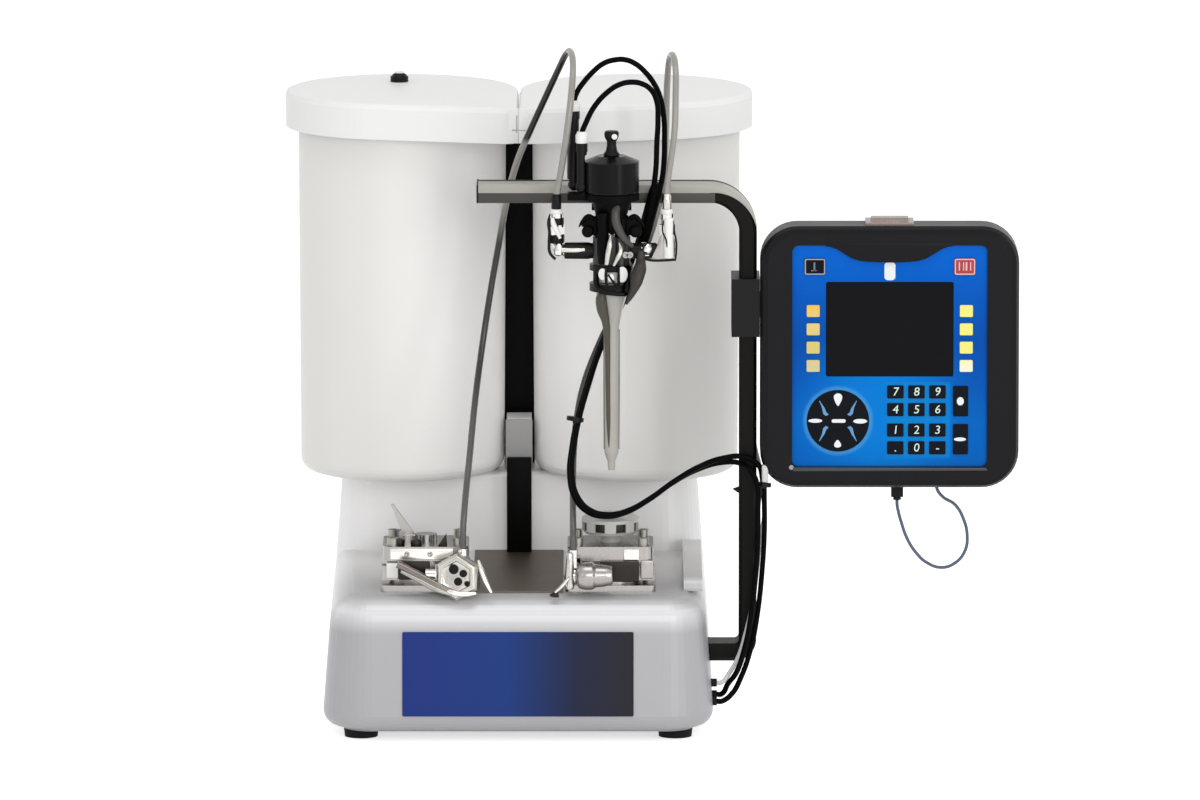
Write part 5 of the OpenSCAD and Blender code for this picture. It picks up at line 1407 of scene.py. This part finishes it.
def make_pump_dress():
    """Side blocks of the two pump heads and two screws on the left one; a bright sheet on the left
    plate's front and a bright patch on the right one as painted highlights; dark blocks in both
    recesses as painted shade; and the left one's slanting bar, with a lighter rail along it as its
    painted highlight.
    """
    # Painted highlight across the left pump plate's front
    face = block((-116, 37.2, 163.6), (-59, 39.6, 173.4), edge=0.5)
    fit(face, "left_pump_face_highlight", BRIGHT_STEEL_AND_HIGHLIGHT)
    for x in (-101, -80):
        rings = [(0, 5), (1.0, 5), (1.2, 4.2), (1.2, 2.4), (0.6, 2.2)]
        screw = turned((x, 37.4, 168.6), FORWARD, rings, sides=24)
        fit(screw, "left_pump_screw_%d" % -x, STAINLESS_AND_HIGHLIGHT)
    # The recess blocks are painted shade; the bright block on the right is a painted highlight
    for name, low, high, edge, slot, material in (
        ("left_pump_recess_shade", (-108.6, 36.6, 145), (-80, 40, 161.6), 1, "dark_steel", SHADOW_STEEL),
        ("left_pump_side_block", (-119.6, 36.4, 146.6), (-109, 50, 160.2), 1, "lid_poly",
         WHITE_FITTING_AND_LIGHT),
        ("right_pump_side_block", (111.4, 36.4, 146), (123, 50, 163), 1, "stainless", STAINLESS_AND_HIGHLIGHT),
        ("right_pump_highlight", (96, 37, 162.6), (110, 39.4, 173), 0.8, "bright_chrome",
         BRIGHT_STEEL_AND_HIGHLIGHT),
        ("right_pump_recess_shade", (74.6, 33, 143.6), (110, 39, 162.4), 1, "dark_steel", SHADOW_STEEL),
    ):
        fit(block(low, high, edge), name, material)
    bar = bent_rod([
        (-109, 24, 161.5), (-90, 18.6, 152), (-72, 14, 143), (-57, 11.6, 136.8),
    ], 7.6, [0.9, 1.0, 1.0, 0.8])
    fit(bar, "left_slanting_bar", TARNISHED)
    # Painted highlight along the slanting bar
    rail = bent_rod([
        (-106, 20, 155.6), (-88, 15.6, 147), (-72, 11.6, 139.6), (-60, 10.4, 136),
    ], 4.6, [0.7, 1.0, 1.0, 0.8])
    fit(rail, "left_slanting_bar_highlight", STAINLESS_AND_HIGHLIGHT)


def make_lever_dress():
    """Dark screw heads about the left lever and a dark pointed tab at its right, painted shade
    about the lever's hub.
    """
    # Painted shade about the lever's hub, as dark screw heads and a tab
    for x, y, size, body in ((-108.5, 52, 11, "base"), (-92.5, 48, 10.5, "lever_left")):
        rings = [(0, size), (4.4, size), (5.6, size - 2.4), (5.6, 5), (3, 4.6)]
        head = turned((x, y, 175), UP, rings)
        fit(head, "left_lever_shade_screw_%d" % -x, SHADOW_STEEL, body)
    tab = cut_plate([[(-73, 175), (-64.4, 175), (-65.2, 186.6)]], 44, 47, edge=0.4)
    fit(tab, "left_pump_shade_tab", SHADOW_STEEL)


# The round cap's axis, and how far from it the painted shade pads in its pockets are
CAP_X = 84
CAP_Y = 72
CAP_POCKETS = 8
POCKET_REACH = 22.6


def make_cap_pads():
    """Dark pads on the floors of the round cap's eight pockets, painted shade in the pockets."""
    pads = []
    for index in range(CAP_POCKETS):
        angle = math.radians(360 / CAP_POCKETS * (index + 0.5))
        reach = Vector((math.cos(angle), math.sin(angle), 0))
        middle = at(CAP_X, CAP_Y, 190) + reach * mm(POCKET_REACH)
        bpy.ops.mesh.primitive_cube_add(
            size=1, location=middle, rotation=(0, 0, angle), scale=(mm(1.2), mm(9.4), mm(7.4)),
        )
        pads.append(soften(settle(bpy.context.object), 0.3))
    # Painted shade in the cap's pockets
    fit(joined(pads), "cap_pocket_shade", SHADOW_STEEL, "lever_right")


make_left_union()
make_right_union()
make_pump_dress()
make_lever_dress()
make_cap_pads()


# Cord ties and small things

def tie(name, centre, axis, diameter, width):
    """A cord tie: a flat band round the cords with its square lock."""
    outer = diameter + 0.8
    band = turned(Vector(centre) - Vector(axis).normalized() * (width / 2), axis, [
        (0, diameter), (0.4, outer), (width - 0.4, outer), (width, diameter),
    ])
    x, y, z = centre
    front = y - diameter / 2
    lock = block((x - 2.4, front - 3, z - 2.4), (x + 2.4, front + 0.4, z + 2.4), edge=0.5)
    fit(joined([band, lock]), name, BLACK_MOULDING_AND_SHADE)


def make_saddle_cover():
    """Grey cover on the web between the tanks, and the slim black post that carries it."""
    post = block((-11.4, 248.6, 134.1), (11.4, 262, 223), edge=1.0)
    fit(post, "column_post", BLACK_PAINT)
    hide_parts("column_foot")
    cover = block((-12.6, 258.6, 212), (12.2, 263.4, 257.6), edge=1.2)
    fit(cover, "saddle_cover", BAND_GREY)


def make_lid_bridges():
    """White lips that close the notch between the two lids, with a faint seam and its tick."""
    for side, name in ((-1, "left"), (1, "right")):
        near, far = side * 0.1, side * 9
        outline = [(near, 529), (far, 529), (far, 560.4), (near, 560.4)]
        lip = cut_plate([outline], 156.9, 168, edge=0.3)
        fit(lip, name + "_lid_lip", LID_WHITE, "lid_" + name)
    tick = block((-2, 156.5, 538.5), (-1, 158, 555), edge=0.2)
    cross = block((-6, 156.4, 540.6), (-0.4, 158, 541.8), edge=0.2)
    fit(joined([tick, cross]), "left_lid_tick", TICK_GREY, "lid_left")
    dash = block((0.4, 156.4, 540.6), (9.4, 158, 541.4), edge=0.2)
    fit(dash, "right_lid_tick", TICK_GREY, "lid_right")


def make_small_things():
    """Ties and clips of the cords, and the cap on the breather plug."""
    tie("air_line_tie", (52, 44, 292), (0.16, 0.1, 1), 15, 4)
    tie("side_cord_tie", (224, 54, 230), (0.1, 0.1, 1), 12, 4)
    rings = [(0, 6.4), (2, 5), (6, 0.8)]
    spike = turned((201.4, 66, 223.5), (-1, 0, 0.12), rings, sides=16, edge=0.2)
    fit(spike, "post_tie_tail", BLACK_MOULDING_AND_SHADE)
    clip = block((221.6, 46, 233), (227.6, 57, 249), edge=1.6)
    fit(clip, "side_cord_clip", CABLE_GREY)
    plug_cap = turned((-111, 340, 569.6), UP, [(0, 9), (1.4, 8.6), (1.8, 6)])
    fit(plug_cap, "breather_cap", WHITE_FITTING_AND_LIGHT, "plug")


make_saddle_cover()
make_lid_bridges()
make_small_things()


# Light and floor

# How bright the surroundings are as a light, where the camera sees them as 1
AMBIENT = 0.6
FLOOR_SIZE = 12
FLOOR_GLOW = 0.62
# What the lamps look at
LIT_SPOT = Vector((0, 0, 0.3))


def area_light(name, place, size, power):
    """A white rectangular lamp that looks at the machine's middle."""
    data = bpy.data.lights.new(name, "AREA")
    data.shape = "RECTANGLE"
    data.size, data.size_y = size
    data.energy = power
    lamp = bpy.data.objects.new(name, data)
    bpy.context.scene.collection.objects.link(lamp)
    lamp.location = place
    lamp.rotation_euler = (LIT_SPOT - Vector(place)).to_track_quat("-Z", "Y").to_euler()


def sees_white(tree):
    """1 for the rays that should see plain white: camera, glossy and transmission rays."""
    path = tree.nodes.new("ShaderNodeLightPath")
    seen = calc(tree, "ADD", path.outputs["Is Camera Ray"], path.outputs["Is Glossy Ray"])
    seen = calc(tree, "ADD", seen, path.outputs["Is Transmission Ray"])
    return calc(tree, "MINIMUM", seen, 1.0)


def make_world():
    """White surroundings, dimmer as a light than as what the rays above see."""
    world = bpy.data.worlds.new("studio")
    bpy.context.scene.world = world
    world.use_nodes = True
    tree = world.node_tree
    sky = tree.nodes["Background"]
    set_inputs(sky, Color=(1, 1, 1, 1))
    strength = calc(tree, "MULTIPLY_ADD", sees_white(tree), 1 - AMBIENT, AMBIENT)
    tree.links.new(strength, sky.inputs["Strength"])


def make_floor():
    """Pale floor that takes a soft shadow and glows to white round the machine."""
    bpy.ops.mesh.primitive_plane_add(size=FLOOR_SIZE, location=(0, 0, 0))
    floor = bpy.context.object
    floor.name = "floor"
    material, tree, shader = new_material("floor")
    set_inputs(shader, Base_Color=(0.95, 0.95, 0.95, 1), Roughness=0.9, Specular_IOR_Level=0.0)
    glow = tree.nodes.new("ShaderNodeEmission")
    set_inputs(glow, Color=(1, 1, 1, 1))
    mixed = tree.nodes.new("ShaderNodeAddShader")
    strength = calc(tree, "MULTIPLY", sees_white(tree), FLOOR_GLOW)
    tree.links.new(strength, glow.inputs["Strength"])
    tree.links.new(shader.outputs[0], mixed.inputs[0])
    tree.links.new(glow.outputs[0], mixed.inputs[1])
    tree.links.new(mixed.outputs[0], tree.nodes["Material Output"].inputs["Surface"])
    floor.data.materials.append(material)


make_world()
make_floor()
area_light("key", (-1.8, -3.0, 1.4), (0.7, 2.0), 4)
area_light("fill", (1.9, -3.0, 1.0), (0.7, 2.0), 20)
area_light("front", (0.3, -3.4, 1.1), (1.8, 1.0), 20)
area_light("top", (0, -1.0, 2.8), (2.0, 1.2), 17)
area_light("rim_left", (-2.4, 0.8, 1.2), (0.4, 2.4), 6)
area_light("rim_right", (2.6, 0.9, 1.2), (0.4, 2.4), 7)

bpy.context.scene.view_settings.view_transform = "Standard"
